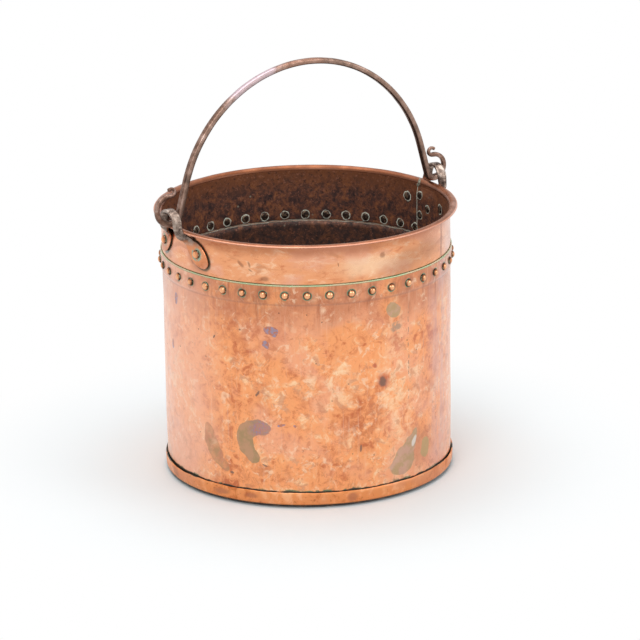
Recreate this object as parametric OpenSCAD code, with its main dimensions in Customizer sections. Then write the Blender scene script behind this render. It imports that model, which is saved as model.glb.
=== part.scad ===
/* [Body] */
// Outer radius of the wall just under its rivet band
body_r = 169.6; // [140:0.1:205]
// How much smaller the wall's radius is at the foot
foot_taper = 1.0; // [0:0.1:3]
// Height of the lip's crest above the floor
lip_z = 318; // [280:1:385]
// Thickness of the copper sheets
sheet = 1.6; // [1.2:0.05:2]
// Height of the wall's top edge, below the lip's crest
band_drop = 48.5; // [46:0.5:56]
// Height of the rivet band, from its joggle to its top edge
band_h = 20.5; // [19:0.5:26]
// Height of the joggle that steps the band out over the collar
joggle_h = 3.5; // [3:0.1:5]
// Width of the flange turned in at the wall's foot
flange_w = 18.6; // [16:0.1:24]
// Outer radius of the bend at the wall's foot
foot_bend_r = 4; // [3.7:0.1:5]

/* [Base pan] */
// Height of the pan's turned-up edge above its floor
pan_edge_h = 15.15; // [12:0.05:20]
// Outer radius of the pan's bottom corner
pan_bend_r = 3.6; // [3.2:0.1:3.9]

/* [Lip] */
// Mean radius of the lip's roll
lip_r = 4.5; // [3.6:0.1:5.4]
// Angle through which the lip is rolled outwards
lip_turn = 110; // [100:1:125]
// Length of the straight edge after the roll
lip_edge = 3.4; // [2:0.1:4.2]

/* [Collar seam] */
// Angle at which the lapped end starts, seen from above
seam_from = -5.5; // [-6.5:0.1:-4.5]
// Width of the line between the outer end and the sheet it covers
seam_line = 0.4; // [0.2:0.1:0.8]

/* [Rivets] */
// Number of rivets round the band
band_count = 42; // [32:1:44]
// Angle of the band's first rivet
band_phase = -0.7; // [-0.8:0.1:-0.5]
// Number of rivets round the base
base_count = 32; // [24:1:48]
// Angle of the base's first rivet
base_phase = 0; // [-5:0.1:5]
// Diameter of a rivet's domed head
head_d = 9.6; // [8:0.1:11]
// Height of a rivet's domed head
head_h = 3.2; // [2.5:0.1:4]
// Diameter of a rivet's shank
shank_d = 5.4; // [4.4:0.1:6.4]
// Radial room round a shank in its hole
shank_gap = 0.05; // [0.02:0.01:0.1]
// Diameter of the hammered tail inside
tail_d = 9; // [7.6:0.1:9.2]
// Thickness of the hammered tail
tail_h = 1.2; // [0.8:0.1:1.8]
// Height of the base rivets' heads, on which the bucket stands
foot_h = 3; // [2.4:0.1:3.8]
// Diameter of a base rivet's head
foot_d = 10; // [8.4:0.1:12]
// Diameter of the flat worn on a base rivet's head
foot_flat_d = 5; // [4:0.1:6]
// Diameter of an ear rivet's domed head
ear_head_d = 11; // [9:0.1:12]
// Height of an ear rivet's domed head
ear_head_h = 4; // [3:0.1:5]
// Room between laid-up sheets and under heads
seat_gap = 0.1; // [0.05:0.05:0.2]

/* [Ears] */
// Mean radius of the ear's arch about the bail's axis
arch_r = 15.5; // [13:0.1:18.6]
// Width of the ear's strip at its arch
strip_w = 10.5; // [9:0.1:12.6]
// Thickness of the ear's strip
strip_t = 4; // [3.4:0.1:4.8]
// Distance from the lip's edge out to the middle of the arch
ear_out = 3; // [2.6:0.1:4.5]
// Distance round the wall from the ear's middle to a pad's rivet
pad_off = 36.7; // [36:0.1:44]
// Height of a pad's rivet, below the lip's crest
pad_drop = 25; // [24:0.5:27]
// Slant of a pad, from upright
pad_slant = 50; // [45:1:55]
// Width of a pad
pad_w = 24; // [20:0.1:27]
// Length of a pad
pad_l = 41; // [37:0.1:46]
// Thickness of a pad
pad_t = 3.1; // [2.4:0.1:3.7]

/* [Bail] */
// Width of the bail's bar, across its bow
bail_w = 8.5; // [7:0.1:10.2]
// Thickness of the bail's bar, in the plane of its bow
bail_t = 7; // [5.8:0.1:8.4]
// Height of the bow's middle line above the bail's axis
bail_rise = 166.2; // [138:0.1:200]
// Tilt of the bail's straight legs, from upright
leg_tilt = 15; // [12:1:18]
// Radius of the bend between a leg and its hook
bend_r = 7; // [6.5:0.1:9]
// Room between the folded bail and the lip
bail_gap = 0.3; // [0.2:0.1:0.8]
// Radius of the hooks' bar
hook_bar_r = 2.8; // [2.4:0.1:3.2]
// Room over the arch, inside the right hook
right_hook_gap = 7.7; // [6:0.1:10]
// Room over the arch, inside the left hook
left_hook_gap = 12.7; // [10:0.1:15]
// Extra length of the left hook's straight part
left_hook_extra = 5; // [2:0.1:7]
// Extra length of the right hook's straight part
right_hook_extra = 2; // [0:0.1:4]
// Radius of the bar at the hooks' curled tips
tip_bar_r = 1.9; // [1.5:0.1:2.2]
// Radius of the curl at the hooks' tips
tip_curl_r = 4.2; // [3.6:0.1:4.8]

/* [Hidden] */

$fn = 96;
COPPER = "#d98c5f";
DARK_COPPER = "#b5703f";
BRONZE = "#8a6a50";

// Heights
pan_floor_z = foot_h + sheet;
flange_z = pan_floor_z + seat_gap;
band_top_z = lip_z - band_drop;
band_z = band_top_z - band_h;
band_rivet_z = band_z + 0.4 * band_h;
collar_z = band_z + 1;
roll_z = lip_z - lip_r - sheet / 2;
lap_top_z = roll_z - 1.5;
pad_z = lip_z - pad_drop;
axis_z = lip_z + bail_w / 2 + bail_gap;

// Radii
collar_r = body_r;
collar_in_r = collar_r - sheet;
band_in_r = collar_r + seat_gap;
band_r = band_in_r + sheet;
seam_in_r = collar_in_r - sheet;
foot_r = body_r - foot_taper;
pan_in_r = foot_r + 0.3;
pan_r = pan_in_r + sheet;
flange_in_r = foot_r - flange_w;
base_rivet_r = foot_r - flange_w / 2;
roll_r = collar_in_r + sheet / 2 + lip_r;
edge_a = 180 - lip_turn;
lip_out_r = roll_r + lip_r * cos(edge_a) + lip_edge * sin(edge_a) + sheet / 2 * cos(edge_a);
ear_x = lip_out_r + ear_out;
pad_in_r = collar_r + seat_gap;
pad_out_r = pad_in_r + pad_t;
pad_a = pad_off / collar_r * 180 / PI;
hole_d = shank_d + 2 * shank_gap;
arch_in_r = arch_r - strip_t / 2;
arch_out_r = arch_r + strip_t / 2;

// Bail
pin_r = bail_w / 2 - 0.1;
bend_x = ear_x - 4.5;
leg_foot_x = bend_x - bend_r * cos(leg_tilt);
leg_foot_z = bend_r * (1 - sin(leg_tilt));
bow_r = (leg_foot_x * cos(leg_tilt) - (bail_rise - leg_foot_z) * sin(leg_tilt)) / (1 - sin(leg_tilt));
bow_z = bail_rise - bow_r;
leg_top_x = bow_r * cos(leg_tilt);
leg_top_z = bow_z + bow_r * sin(leg_tilt);
leg_l = norm([leg_foot_x - leg_top_x, leg_top_z - leg_foot_z]);
bar_corner = 1.8;

// The lapped end stops just short of the next band rivet's tail
seam_to = band_phase + 360 / band_count - (tail_d / 2 + 0.7) / seam_in_r * 180 / PI;

// Seam rivets, each as its angle and its height below the lip's crest
SEAM_RIVETS = [[4, 19], [-1.7, 32.5], [4, 43.4]];

function in_seam(a) = a > seam_from && a < seam_to;
function wrap(a) = a > 180 ? a - 360 : a;
function band_a(i) = wrap(band_phase + 360 * i / band_count);
function sheet_in_r(a) = in_seam(a) ? seam_in_r : collar_in_r;

// Points on an arc about a centre
function arc(c, r, from, to, n = 12) =
    [for (i = [0 : n]) c + r * [cos(from + (to - from) * i / n), sin(from + (to - from) * i / n)]];

// The collar's section: upright sheet, roll and straight edge, from inside to outside
function collar_profile() =
    let (c = [roll_r, roll_z], out = lip_edge * [sin(edge_a), -cos(edge_a)], n = [cos(edge_a), sin(edge_a)])
    concat([[collar_in_r, collar_z]], arc(c, lip_r + sheet / 2, 180, edge_a),
           [c + (lip_r + sheet / 2) * n + out, c + (lip_r - sheet / 2) * n + out],
           arc(c, lip_r - sheet / 2, edge_a, 180), [[collar_r, collar_z]]);

// A slice of the plane between two angles, for cutting arcs
module wedge(from, to, r = 40) {
    mid = (from + to) / 2;
    polygon([[0, 0], r * [cos(from), sin(from)], r * [cos(mid), sin(mid)], r * [cos(to), sin(to)]]);
}

// A sheet's quarter bend, from its outer radius
module sheet_bend(r, from, to) {
    intersection() {
        difference() {
            circle(r);
            circle(r - sheet);
        }
        wedge(from, to);
    }
}

// The bail's bar with its corners dressed off: its thickness along X, its width along Y
module bar_section(trim = 0) {
    t = bail_t / 2 - trim;
    w = bail_w / 2 - trim;
    polygon([[bar_corner - t, -w], [t - bar_corner, -w], [t, bar_corner - w], [t, w - bar_corner],
             [t - bar_corner, w], [bar_corner - t, w], [-t, w - bar_corner], [-t, bar_corner - w]]);
}

// Holes through the sheets, pointing outwards along +X from the body's axis
module radial_hole(a, z) {
    rotate([0, 0, a]) translate([seam_in_r - 4, 0, z])
        rotate([0, 90, 0]) cylinder(d = hole_d, h = 24, $fn = 32);
}

// The dome of a rivet's head, its base on Z = 0
module dome(d, h) {
    r = (d * d / 4 + h * h) / (2 * h);
    rotate_extrude($fn = 48) intersection() {
        translate([0, h - r]) circle(r);
        square([d, h]);
    }
}

// One radial rivet: head outside, shank through the sheets, hammered tail inside
module radial_rivet(a, z, out_r, in_r, d, h, td) {
    seat = out_r + seat_gap;
    tail = in_r - seat_gap - td * td / (8 * in_r);
    rotate([0, 0, a]) translate([0, 0, z]) rotate([0, 90, 0]) {
        translate([0, 0, seat]) dome(d, h);
        translate([0, 0, tail - tail_h / 2]) cylinder(d = shank_d, h = seat - tail + tail_h, $fn = 32);
        translate([0, 0, tail - tail_h]) cylinder(d = td, h = tail_h, $fn = 32);
    }
}

// A pad's outline about its rivet: two long curves crossing in points, with blunted ends
module leaf(half_w, half_l) {
    point_l = half_l * 1.15;
    side_r = (half_w * half_w + point_l * point_l) / (2 * half_w);
    intersection() {
        translate([half_w - side_r, 0]) circle(side_r, $fn = 128);
        translate([side_r - half_w, 0]) circle(side_r, $fn = 128);
        circle(half_l, $fn = 128);
    }
}

module wall() {
    mouth_r = body_r - sheet;
    color(COPPER) difference() {
        rotate_extrude($fn = 256) {
            // Flange, bend and tapering side
            translate([flange_in_r, flange_z]) square([flange_w - foot_bend_r, sheet]);
            translate([foot_r - foot_bend_r, flange_z + foot_bend_r]) sheet_bend(foot_bend_r, -90, 0);
            polygon([[foot_r - sheet, flange_z + foot_bend_r], [foot_r, flange_z + foot_bend_r],
                     [body_r, band_z - joggle_h], [mouth_r, band_z - joggle_h]]);
            // Joggle and rivet band
            polygon([[mouth_r, band_z - joggle_h], [body_r, band_z - joggle_h],
                     [band_r, band_z], [band_in_r, band_z]]);
            translate([band_in_r, band_z]) square([sheet, band_h]);
        }
        for (i = [0 : band_count - 1])
            radial_hole(band_a(i), band_rivet_z);
        for (i = [0 : base_count - 1])
            base_hole(i);
    }
}

module base_hole(i) {
    rotate([0, 0, base_phase + 360 * i / base_count]) translate([base_rivet_r, 0, foot_h - 1])
        cylinder(d = hole_d, h = flange_z + sheet - foot_h + 2, $fn = 32);
}

module base_pan() {
    color(DARK_COPPER) difference() {
        rotate_extrude($fn = 256) {
            translate([0, foot_h]) square([pan_r - pan_bend_r, sheet]);
            translate([pan_r - pan_bend_r, foot_h + pan_bend_r]) sheet_bend(pan_bend_r, -90, 0);
            translate([pan_in_r, foot_h + pan_bend_r])
                square([sheet, sheet + pan_edge_h - pan_bend_r]);
        }
        for (i = [0 : base_count - 1])
            base_hole(i);
    }
}

module collar() {
    color(COPPER) difference() {
        union() {
            // Upright sheet, rolled lip and its straight edge
            rotate_extrude($fn = 256) polygon(collar_profile());
            // The end lapped inside
            rotate([0, 0, seam_from]) rotate_extrude(angle = seam_to - seam_from, $fn = 256)
                translate([seam_in_r, collar_z + 0.3]) square([sheet + 0.2, lap_top_z - collar_z]);
        }
        // The line where the outer end stops
        rotate([0, 0, seam_from + 0.5]) translate([collar_in_r + 0.3, 0, collar_z - 1])
            cube([sheet + 1, seam_line, lap_top_z - collar_z]);
        for (i = [0 : band_count - 1])
            radial_hole(band_a(i), band_rivet_z);
        for (p = SEAM_RIVETS)
            radial_hole(p[0], lip_z - p[1]);
        for (side = [0, 180], s = [-1, 1])
            radial_hole(side + s * pad_a, pad_z);
    }
}

module band_rivets() {
    color(DARK_COPPER) for (i = [0 : band_count - 1])
        radial_rivet(band_a(i), band_rivet_z, band_r, sheet_in_r(band_a(i)), head_d, head_h, tail_d);
}

module seam_rivets() {
    color(DARK_COPPER) for (p = SEAM_RIVETS)
        radial_rivet(p[0], lip_z - p[1], collar_r, seam_in_r, head_d, head_h, tail_d);
}

// Base rivets: a worn dome under the pan, a shank, and a tail on the flange
module base_rivets() {
    top_z = flange_z + sheet + seat_gap;
    c = (foot_d * foot_d / 4 - foot_flat_d * foot_flat_d / 4 + foot_h * foot_h) / (2 * foot_h);
    dome_r = norm([foot_flat_d / 2, c]);
    color(DARK_COPPER) for (i = [0 : base_count - 1])
        rotate([0, 0, base_phase + 360 * i / base_count]) translate([base_rivet_r, 0, 0]) {
            rotate_extrude($fn = 48) intersection() {
                translate([0, c]) circle(dome_r);
                square([foot_d, foot_h - seat_gap]);
            }
            translate([0, 0, foot_h / 2]) cylinder(d = shank_d, h = top_z + tail_h - foot_h / 2, $fn = 32);
            translate([0, 0, top_z]) cylinder(d = tail_d, h = tail_h, $fn = 32);
        }
}

// One leg of the ear on +X, on the side of +Y: its front outline crossed with its side outline
module ear_leg() {
    top_z = axis_z + 0.5;
    half = strip_w / 2;
    skin = 0.1;
    clear_x = lip_out_r + 0.2;
    neck_l = 0.36 * pad_l;
    neck_y = pad_off - neck_l * sin(pad_slant);
    neck_z = pad_z + neck_l * cos(pad_slant);
    neck_w = pad_w / 4;
    intersection() {
        translate([collar_in_r, 0, 0]) rotate([90, 0, 90]) linear_extrude(strip_w * 3)
            polygon([[arch_in_r + skin, top_z], [arch_out_r - skin, top_z],
                     [arch_out_r + 2.5, roll_z + 1], [neck_y + neck_w * 0.8, neck_z],
                     [neck_y - 1, neck_z - neck_w * 0.8], [neck_y - neck_w, neck_z],
                     [arch_in_r, roll_z + 1]]);
        translate([0, pad_off, 0]) rotate([90, 0, 0]) linear_extrude(pad_off)
            polygon([[ear_x - half + skin, top_z], [ear_x + half - skin, top_z],
                     [clear_x + 0.7 * strip_w, lip_z - 1], [clear_x + strip_t + 0.5, roll_z - 1],
                     [pad_out_r + 1.5, neck_z + 1], [pad_out_r - 1, neck_z - neck_w],
                     [pad_in_r - 4, neck_z - neck_w], [pad_in_r - 4, neck_z + 2],
                     [clear_x, roll_z - 0.5], [clear_x, lip_z - 0.6]]);
    }
}

// A pad of the ear on +X, on the side of +Y, not yet fitted to the collar
module ear_pad() {
    intersection() {
        rotate([0, 0, pad_a]) translate([pad_in_r - 6, 0, pad_z])
            rotate([90, 0, 90]) rotate([0, 0, pad_slant]) linear_extrude(12)
                leaf(pad_w / 2, pad_l / 2);
        cylinder(r = pad_out_r, h = lip_z, $fn = 256);
    }
}

module ear_side() {
    ear_leg();
    ear_pad();
}

module ear() {
    difference() {
        union() {
            // Arch about the bail's axis
            translate([ear_x - strip_w / 2, 0, axis_z]) rotate([90, 0, 90])
                rotate_extrude(angle = 180, $fn = 96)
                    translate([arch_in_r, 0]) square([strip_t, strip_w]);
            ear_side();
            mirror([0, 1, 0]) ear_side();
        }
        // Clear of the collar, and drilled for the rivets
        cylinder(r = pad_in_r, h = roll_z, $fn = 256);
        for (s = [-1, 1])
            radial_hole(s * pad_a, pad_z);
    }
}

module ear_rivets() {
    for (s = [-1, 1])
        radial_rivet(s * pad_a, pad_z, pad_out_r, collar_in_r, ear_head_d, ear_head_h, tail_d + 1);
}

module right_ear() { color(BRONZE) ear(); }
module left_ear() { color(BRONZE) rotate([0, 0, 180]) ear(); }
module right_ear_rivets() { color(DARK_COPPER) ear_rivets(); }
module left_ear_rivets() { color(DARK_COPPER) rotate([0, 0, 180]) ear_rivets(); }

// An arc of round bar in the bow's plane, about a centre, from one angle through a turn
module bar_arc(x, z, r, from, turn, bar_r) {
    translate([x, 0, z]) rotate([90, 0, 0]) rotate([0, 0, from])
        rotate_extrude(angle = turn, $fn = 96) translate([r, 0]) circle(bar_r, $fn = 32);
}

// The hook on +X: bend, pin through the ear, rising arc and curled tip
module hook(gap, extra) {
    hook_r = (arch_out_r + gap + hook_bar_r) / 2;
    x = bend_x + extra;
    tip_x = x - 3;
    bar_arc(bend_x, bend_r, bend_r, 180 + leg_tilt, 90 - leg_tilt, pin_r);
    translate([bend_x, 0, 0]) rotate([0, 90, 0]) cylinder(r = pin_r, h = extra + 1, $fn = 64);
    translate([x + 1, 0, 0]) rotate([0, 90, 0]) cylinder(r1 = pin_r, r2 = hook_bar_r, h = 4, $fn = 64);
    bar_arc(x, hook_r, hook_r, -90, 180, hook_bar_r);
    translate([tip_x, 0, 2 * hook_r]) rotate([0, 90, 0])
        cylinder(r1 = tip_bar_r, r2 = hook_bar_r, h = 3, $fn = 32);
    bar_arc(tip_x, 2 * hook_r + tip_curl_r, tip_curl_r, 40, 230, tip_bar_r);
    translate([tip_x, 0, 2 * hook_r + tip_curl_r]) rotate([0, -40, 0])
        translate([tip_curl_r, 0, 0]) sphere(tip_bar_r + 0.3, $fn = 32);
}

// The straight leg under the bow, on +X: a hair thinner, so that its ends run into the bow and the bend
module leg() {
    translate([leg_foot_x, 0, leg_foot_z]) rotate([0, -leg_tilt, 0])
        translate([0, 0, -1.3]) linear_extrude(leg_l + 2.3) bar_section(0.05);
}

module bail() {
    color(BRONZE) translate([0, 0, axis_z]) {
        rotate([90, 0, 0]) translate([0, bow_z, 0]) rotate([0, 0, leg_tilt])
            rotate_extrude(angle = 180 - 2 * leg_tilt, $fn = 256)
                translate([bow_r, 0]) bar_section();
        leg();
        mirror([1, 0, 0]) leg();
        hook(right_hook_gap, right_hook_extra);
        mirror([1, 0, 0]) hook(left_hook_gap, left_hook_extra);
    }
}

wall();
collar();
base_pan();
band_rivets();
base_rivets();
seam_rivets();
left_ear();
right_ear();
left_ear_rivets();
right_ear_rivets();
bail();
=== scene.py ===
import math

import bmesh
import bpy
import numpy as np
from mathutils import Euler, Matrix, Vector


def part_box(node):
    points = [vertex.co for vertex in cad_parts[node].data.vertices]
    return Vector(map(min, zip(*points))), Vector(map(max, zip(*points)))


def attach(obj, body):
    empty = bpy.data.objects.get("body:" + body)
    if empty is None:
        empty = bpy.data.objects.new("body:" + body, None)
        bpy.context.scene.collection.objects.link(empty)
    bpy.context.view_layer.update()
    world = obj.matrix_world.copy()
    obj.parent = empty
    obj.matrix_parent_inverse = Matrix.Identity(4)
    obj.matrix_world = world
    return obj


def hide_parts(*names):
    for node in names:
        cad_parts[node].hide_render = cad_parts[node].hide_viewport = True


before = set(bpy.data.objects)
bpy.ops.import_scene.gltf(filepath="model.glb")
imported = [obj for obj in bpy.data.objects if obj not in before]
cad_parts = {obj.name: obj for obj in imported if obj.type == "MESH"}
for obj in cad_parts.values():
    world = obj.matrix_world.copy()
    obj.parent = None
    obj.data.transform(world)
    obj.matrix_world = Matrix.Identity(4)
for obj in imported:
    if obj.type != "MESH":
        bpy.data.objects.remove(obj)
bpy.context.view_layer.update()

# ---------------------------------------------------------------------------
# Riveted copper bucket: sheet-metal shells, forged ears and bail, and rivets.
# Lengths below are in millimetres unless a name says otherwise; the frame is
# in metres, with X through both ears and Z up from the floor.
# ---------------------------------------------------------------------------
MM = 0.001


def node_box(name):
    """A CAD node's box in millimetres."""
    low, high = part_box(name)
    return np.array(low) / MM, np.array(high) / MM


WALL_LOW, WALL_HIGH = node_box("wall")
COLLAR_LOW, COLLAR_HIGH = node_box("collar")
PAN_LOW, PAN_HIGH = node_box("base_pan")
BAND_LOW, BAND_HIGH = node_box("band_rivets")
EAR_RIVET_LOW, EAR_RIVET_HIGH = node_box("right_ear_rivets")
BAIL_TOP = node_box("bail")[1][2]

SHEET = 1.6
SEAT = 0.1

# Wall
BAND_R = WALL_HIGH[0]
BAND_TOP = WALL_HIGH[2]
BODY_R = BAND_R - SHEET - SEAT
FOOT_R = BODY_R - 1.0
FLANGE_Z = WALL_LOW[2]
FOOT_BEND = 4.0
BAND_Z = BAND_TOP - 20.5
JOGGLE_Z = BAND_Z - 3.5
FLANGE_IN_R = FOOT_R - 18.6

# Collar and lip
LIP_Z = COLLAR_HIGH[2]
LIP_OUT_R = COLLAR_HIGH[0]
COLLAR_Z = COLLAR_LOW[2]
COLLAR_IN_R = BODY_R - SHEET
LIP_R = 4.5
ROLL_R = COLLAR_IN_R + SHEET / 2 + LIP_R
ROLL_Z = LIP_Z - SHEET / 2 - LIP_R
LAP_FROM = -5.5
LAP_TO = 6.05
LAP_TOP = LIP_Z - 6.8

# Pan
PAN_R = PAN_HIGH[0]
PAN_TOP = PAN_HIGH[2]
PAN_Z = PAN_LOW[2]
PAN_BEND = 3.6

# Rivets
FULL_TURN = 6.283
BAND_RIVET_Z = (BAND_LOW[2] + BAND_HIGH[2]) / 2
BAND_COUNT = 42
BAND_PHASE = -0.7
BASE_COUNT = 32
BASE_RIVET_R = FOOT_R - 9.3
HEAD_D = 9.6
HEAD_H = 3.2
SHANK_R = 2.7
TAIL_D = 9.0
TAIL_H = 1.2
FOOT_D = 10.0
FOOT_FLAT = 5.0
EAR_HEAD_D = 11.0
EAR_HEAD_H = 4.0
SEAM_RIVETS = [(4.0, LIP_Z - 19), (-1.7, LIP_Z - 32.5), (4.0, LIP_Z - 43.4)]

# Ears
AXIS_Z = LIP_Z + 4.55
ARCH_X = LIP_OUT_R + 3
ARCH_R = 15.5
PAD_ARC = 36.7
PAD_DEG = math.degrees(PAD_ARC / BODY_R)
PAD_ANGLES = [middle + side * PAD_DEG for middle in (0, 180) for side in (-1, 1)]
PAD_Z = (EAR_RIVET_LOW[2] + EAR_RIVET_HIGH[2]) / 2
PAD_SLANT = math.radians(50)
PAD_W = 24.0
PAD_L = 41.0
PAD_T = 3.1
STRIP_T = 4.0

# Bail
BAIL_W = 8.5
BAIL_T = 7.0
BAIL_RISE = BAIL_TOP - BAIL_T / 2 - AXIS_Z
LEG_TILT = math.radians(15)
BEND_X = ARCH_X - 4.5
BEND_R = 7.0
PIN_BAR = 4.0
HOOK_BAR = 2.8
TIP_BAR = 1.9
TIP_CURL = 4.2


# ---------------------------------------------------------------------------
# Hand-made unevenness
# ---------------------------------------------------------------------------
def ease(t):
    return t * t * (3 - 2 * t)


def roll_noise(u, v, cols, rows, seed):
    """Smooth values from -1 to 1 that close round u. Both u and v run from 0 to 1."""
    grid = np.random.default_rng(seed).uniform(-1, 1, (rows + 2, cols))
    x = np.mod(u, 1) * cols
    y = np.clip(v, 0, 1) * rows
    i = np.floor(x).astype(int)
    j = np.floor(y).astype(int)
    fx = ease(x - i)
    fy = ease(y - j)
    a = grid[j, i % cols] * (1 - fx) + grid[j, (i + 1) % cols] * fx
    b = grid[j + 1, i % cols] * (1 - fx) + grid[j + 1, (i + 1) % cols] * fx
    return a * (1 - fy) + b * fy


def hammer_marks(u, v, cols, rows, seed):
    """Distance from the nearest hammer blow, in cells, closing round u."""
    blow = np.random.default_rng(seed).random((rows + 2, cols, 2))
    x = np.mod(u, 1) * cols
    y = np.clip(v, 0, 1) * rows
    i = np.floor(x).astype(int)
    j = np.floor(y).astype(int)
    nearest = np.full(x.shape, 9.0)
    for di in (-1, 0, 1):
        for dj in (-1, 0, 1):
            row = np.clip(j + dj, 0, rows + 1)
            spot = blow[row, (i + di) % cols]
            gap = np.hypot(i + di + spot[..., 0] - x, j + dj + spot[..., 1] - y)
            nearest = np.minimum(nearest, gap)
    return nearest


# ---------------------------------------------------------------------------
# Mesh making
# ---------------------------------------------------------------------------
def put(name, data):
    """Puts a mesh, a lamp or a camera into the scene."""
    thing = bpy.data.objects.new(name, data)
    bpy.context.scene.collection.objects.link(thing)
    return thing


def add_piece(name, points_mm, faces, slots=None, crown=None):
    """A closed smooth mesh with its faces turned outwards."""
    mesh = bpy.data.meshes.new(name)
    mesh.from_pydata((np.asarray(points_mm) * MM).tolist(), [], faces)
    if slots is not None:
        mesh.polygons.foreach_set("material_index", slots)
    if crown is not None:
        mesh.attributes.new("crown", "FLOAT", "POINT").data.foreach_set("value", crown)
    work = bmesh.new()
    work.from_mesh(mesh)
    bmesh.ops.remove_doubles(work, verts=work.verts, dist=1e-7)
    bmesh.ops.recalc_face_normals(work, faces=work.faces)
    if work.calc_volume(signed=True) < 0:
        bmesh.ops.reverse_faces(work, faces=work.faces)
    work.to_mesh(mesh)
    work.free()
    mesh.shade_smooth()
    return put(name, mesh)


def skin(rows, around, closed=False):
    """Faces between rows of points that each close round; the last row may meet the first."""
    faces = []
    for k in range(rows if closed else rows - 1):
        m = (k + 1) % rows
        for j in range(around):
            n = (j + 1) % around
            faces.append((k * around + j, k * around + n, m * around + n, m * around + j))
    return faces


def on_circle(x, y, radius, degrees):
    turn = math.radians(degrees)
    return x + radius * math.cos(turn), y + radius * math.sin(turn)


def headings(points):
    """Unit directions along a path."""
    run = np.gradient(points, axis=0)
    return run / np.linalg.norm(run, axis=1)[:, None]


def arc_points(centre, radius, start, stop, count):
    """Points on an arc of a section, angles in degrees from the outward direction."""
    turn = np.radians(np.linspace(start, stop, count))
    return [(centre[0] + radius * math.cos(t), centre[1] + radius * math.sin(t)) for t in turn]


def section_path(runs, step):
    """A closed section from named runs of points: rows of r, z, and the run each lies in."""
    rows = []
    corners = [(p, label) for label, run in runs for p in run]
    for k, (p, label) in enumerate(corners):
        q = corners[(k + 1) % len(corners)][0]
        length = math.hypot(q[0] - p[0], q[1] - p[1])
        parts = max(1, math.ceil(length / step))
        for n in range(parts):
            t = n / parts
            rows.append((p[0] + (q[0] - p[0]) * t, p[1] + (q[1] - p[1]) * t, label))
    return rows


def revolve(name, rows, steps, shape, slot_of):
    """A section turned about Z. shape(angle, r, z, label) gives the uneven r and z of a row."""
    angle = np.arange(steps) * 2 * np.pi / steps
    grid = []
    for r, z, label in rows:
        new_r, new_z = shape(angle, r, z, label)
        new_r = new_r + 0 * angle
        new_z = new_z + 0 * angle
        grid.append(np.stack([new_r * np.cos(angle), new_r * np.sin(angle), new_z], 1))
    slots = [slot_of(row) for row in rows for _ in range(steps)]
    return add_piece(name, np.concatenate(grid), skin(len(rows), steps, True), slots)


def sweep(name, stations, around, exponent):
    """A bar through stations of centre, side, normal, half width, half thickness and dish.

    Its section is a square softened by the exponent; a dish hollows the face on the normal's
    side. Both ends are closed."""
    turn = np.arange(around) * 2 * np.pi / around
    c = np.cos(turn)
    s = np.sin(turn)
    wide = np.sign(c) * np.abs(c) ** (2 / exponent)
    thick = np.sign(s) * np.abs(s) ** (2 / exponent)
    rings = []
    for centre, side, normal, half_w, half_t, dish in stations:
        sunk = thick - np.where(thick > 0, dish * (1 - wide ** 2), 0)
        ring = centre + np.outer(wide * half_w, side) + np.outer(sunk * half_t, normal)
        rings.append(ring)
    rings.insert(0, np.repeat(stations[0][0][None], around, 0))
    rings.append(np.repeat(stations[-1][0][None], around, 0))
    return add_piece(name, np.concatenate(rings), skin(len(rings), around))


def spline(points, count):
    """Catmull-Rom through points, sampled evenly along its length."""
    p = np.asarray(points, float)
    p = np.vstack([2 * p[0] - p[1], p, 2 * p[-1] - p[-2]])
    t = np.linspace(0, 1, 24, endpoint=False)[:, None]
    out = []
    for a, b, c, d in zip(p, p[1:], p[2:], p[3:]):
        out.append(0.5 * (2 * b + (c - a) * t + (2 * a - 5 * b + 4 * c - d) * t ** 2
                          + (3 * b - a - 3 * c + d) * t ** 3))
    out = np.vstack(out + [p[-2:-1]])
    run = np.concatenate([[0], np.cumsum(np.linalg.norm(np.diff(out[:, :3], axis=0), axis=1))])
    even = np.linspace(0, run[-1], count)
    return np.stack([np.interp(even, run, out[:, k]) for k in range(out.shape[1])], 1)


# ---------------------------------------------------------------------------
# The wall: one sheet with a flange, a foot bend, a side and the rivet band
# ---------------------------------------------------------------------------
def dressed_wall(angle, r, z, label):
    """Hammered side, slightly out of round, with a soft joggle under the band."""
    u = angle / (2 * np.pi)
    v = np.full_like(u, (z - FLANGE_Z) / (BAND_TOP - FLANGE_Z))
    side = np.clip((z - 14) / 20, 0, 1) * np.clip((BAND_Z - 1 - z) / 8, 0.12, 1)
    slow = 0.45 * roll_noise(u, v, 14, 4, 11) + 0.22 * roll_noise(u, v, 34, 9, 12)
    if label in ("flange", "flange top"):
        return r, z + 0 * u
    blows = 0.0
    if label == "outside":
        blow = hammer_marks(u, v, 88, 22, 13)
        blows = -0.17 * np.clip(1 - blow ** 2, 0, 1) + 0.05 * roll_noise(u, v, 200, 50, 14)
    wave = 0.0
    if z > BAND_TOP - 3:
        wave = 0.18 * roll_noise(u, v * 0, 60, 1, 15)
    return r + side * (slow + blows), z + wave


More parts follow.
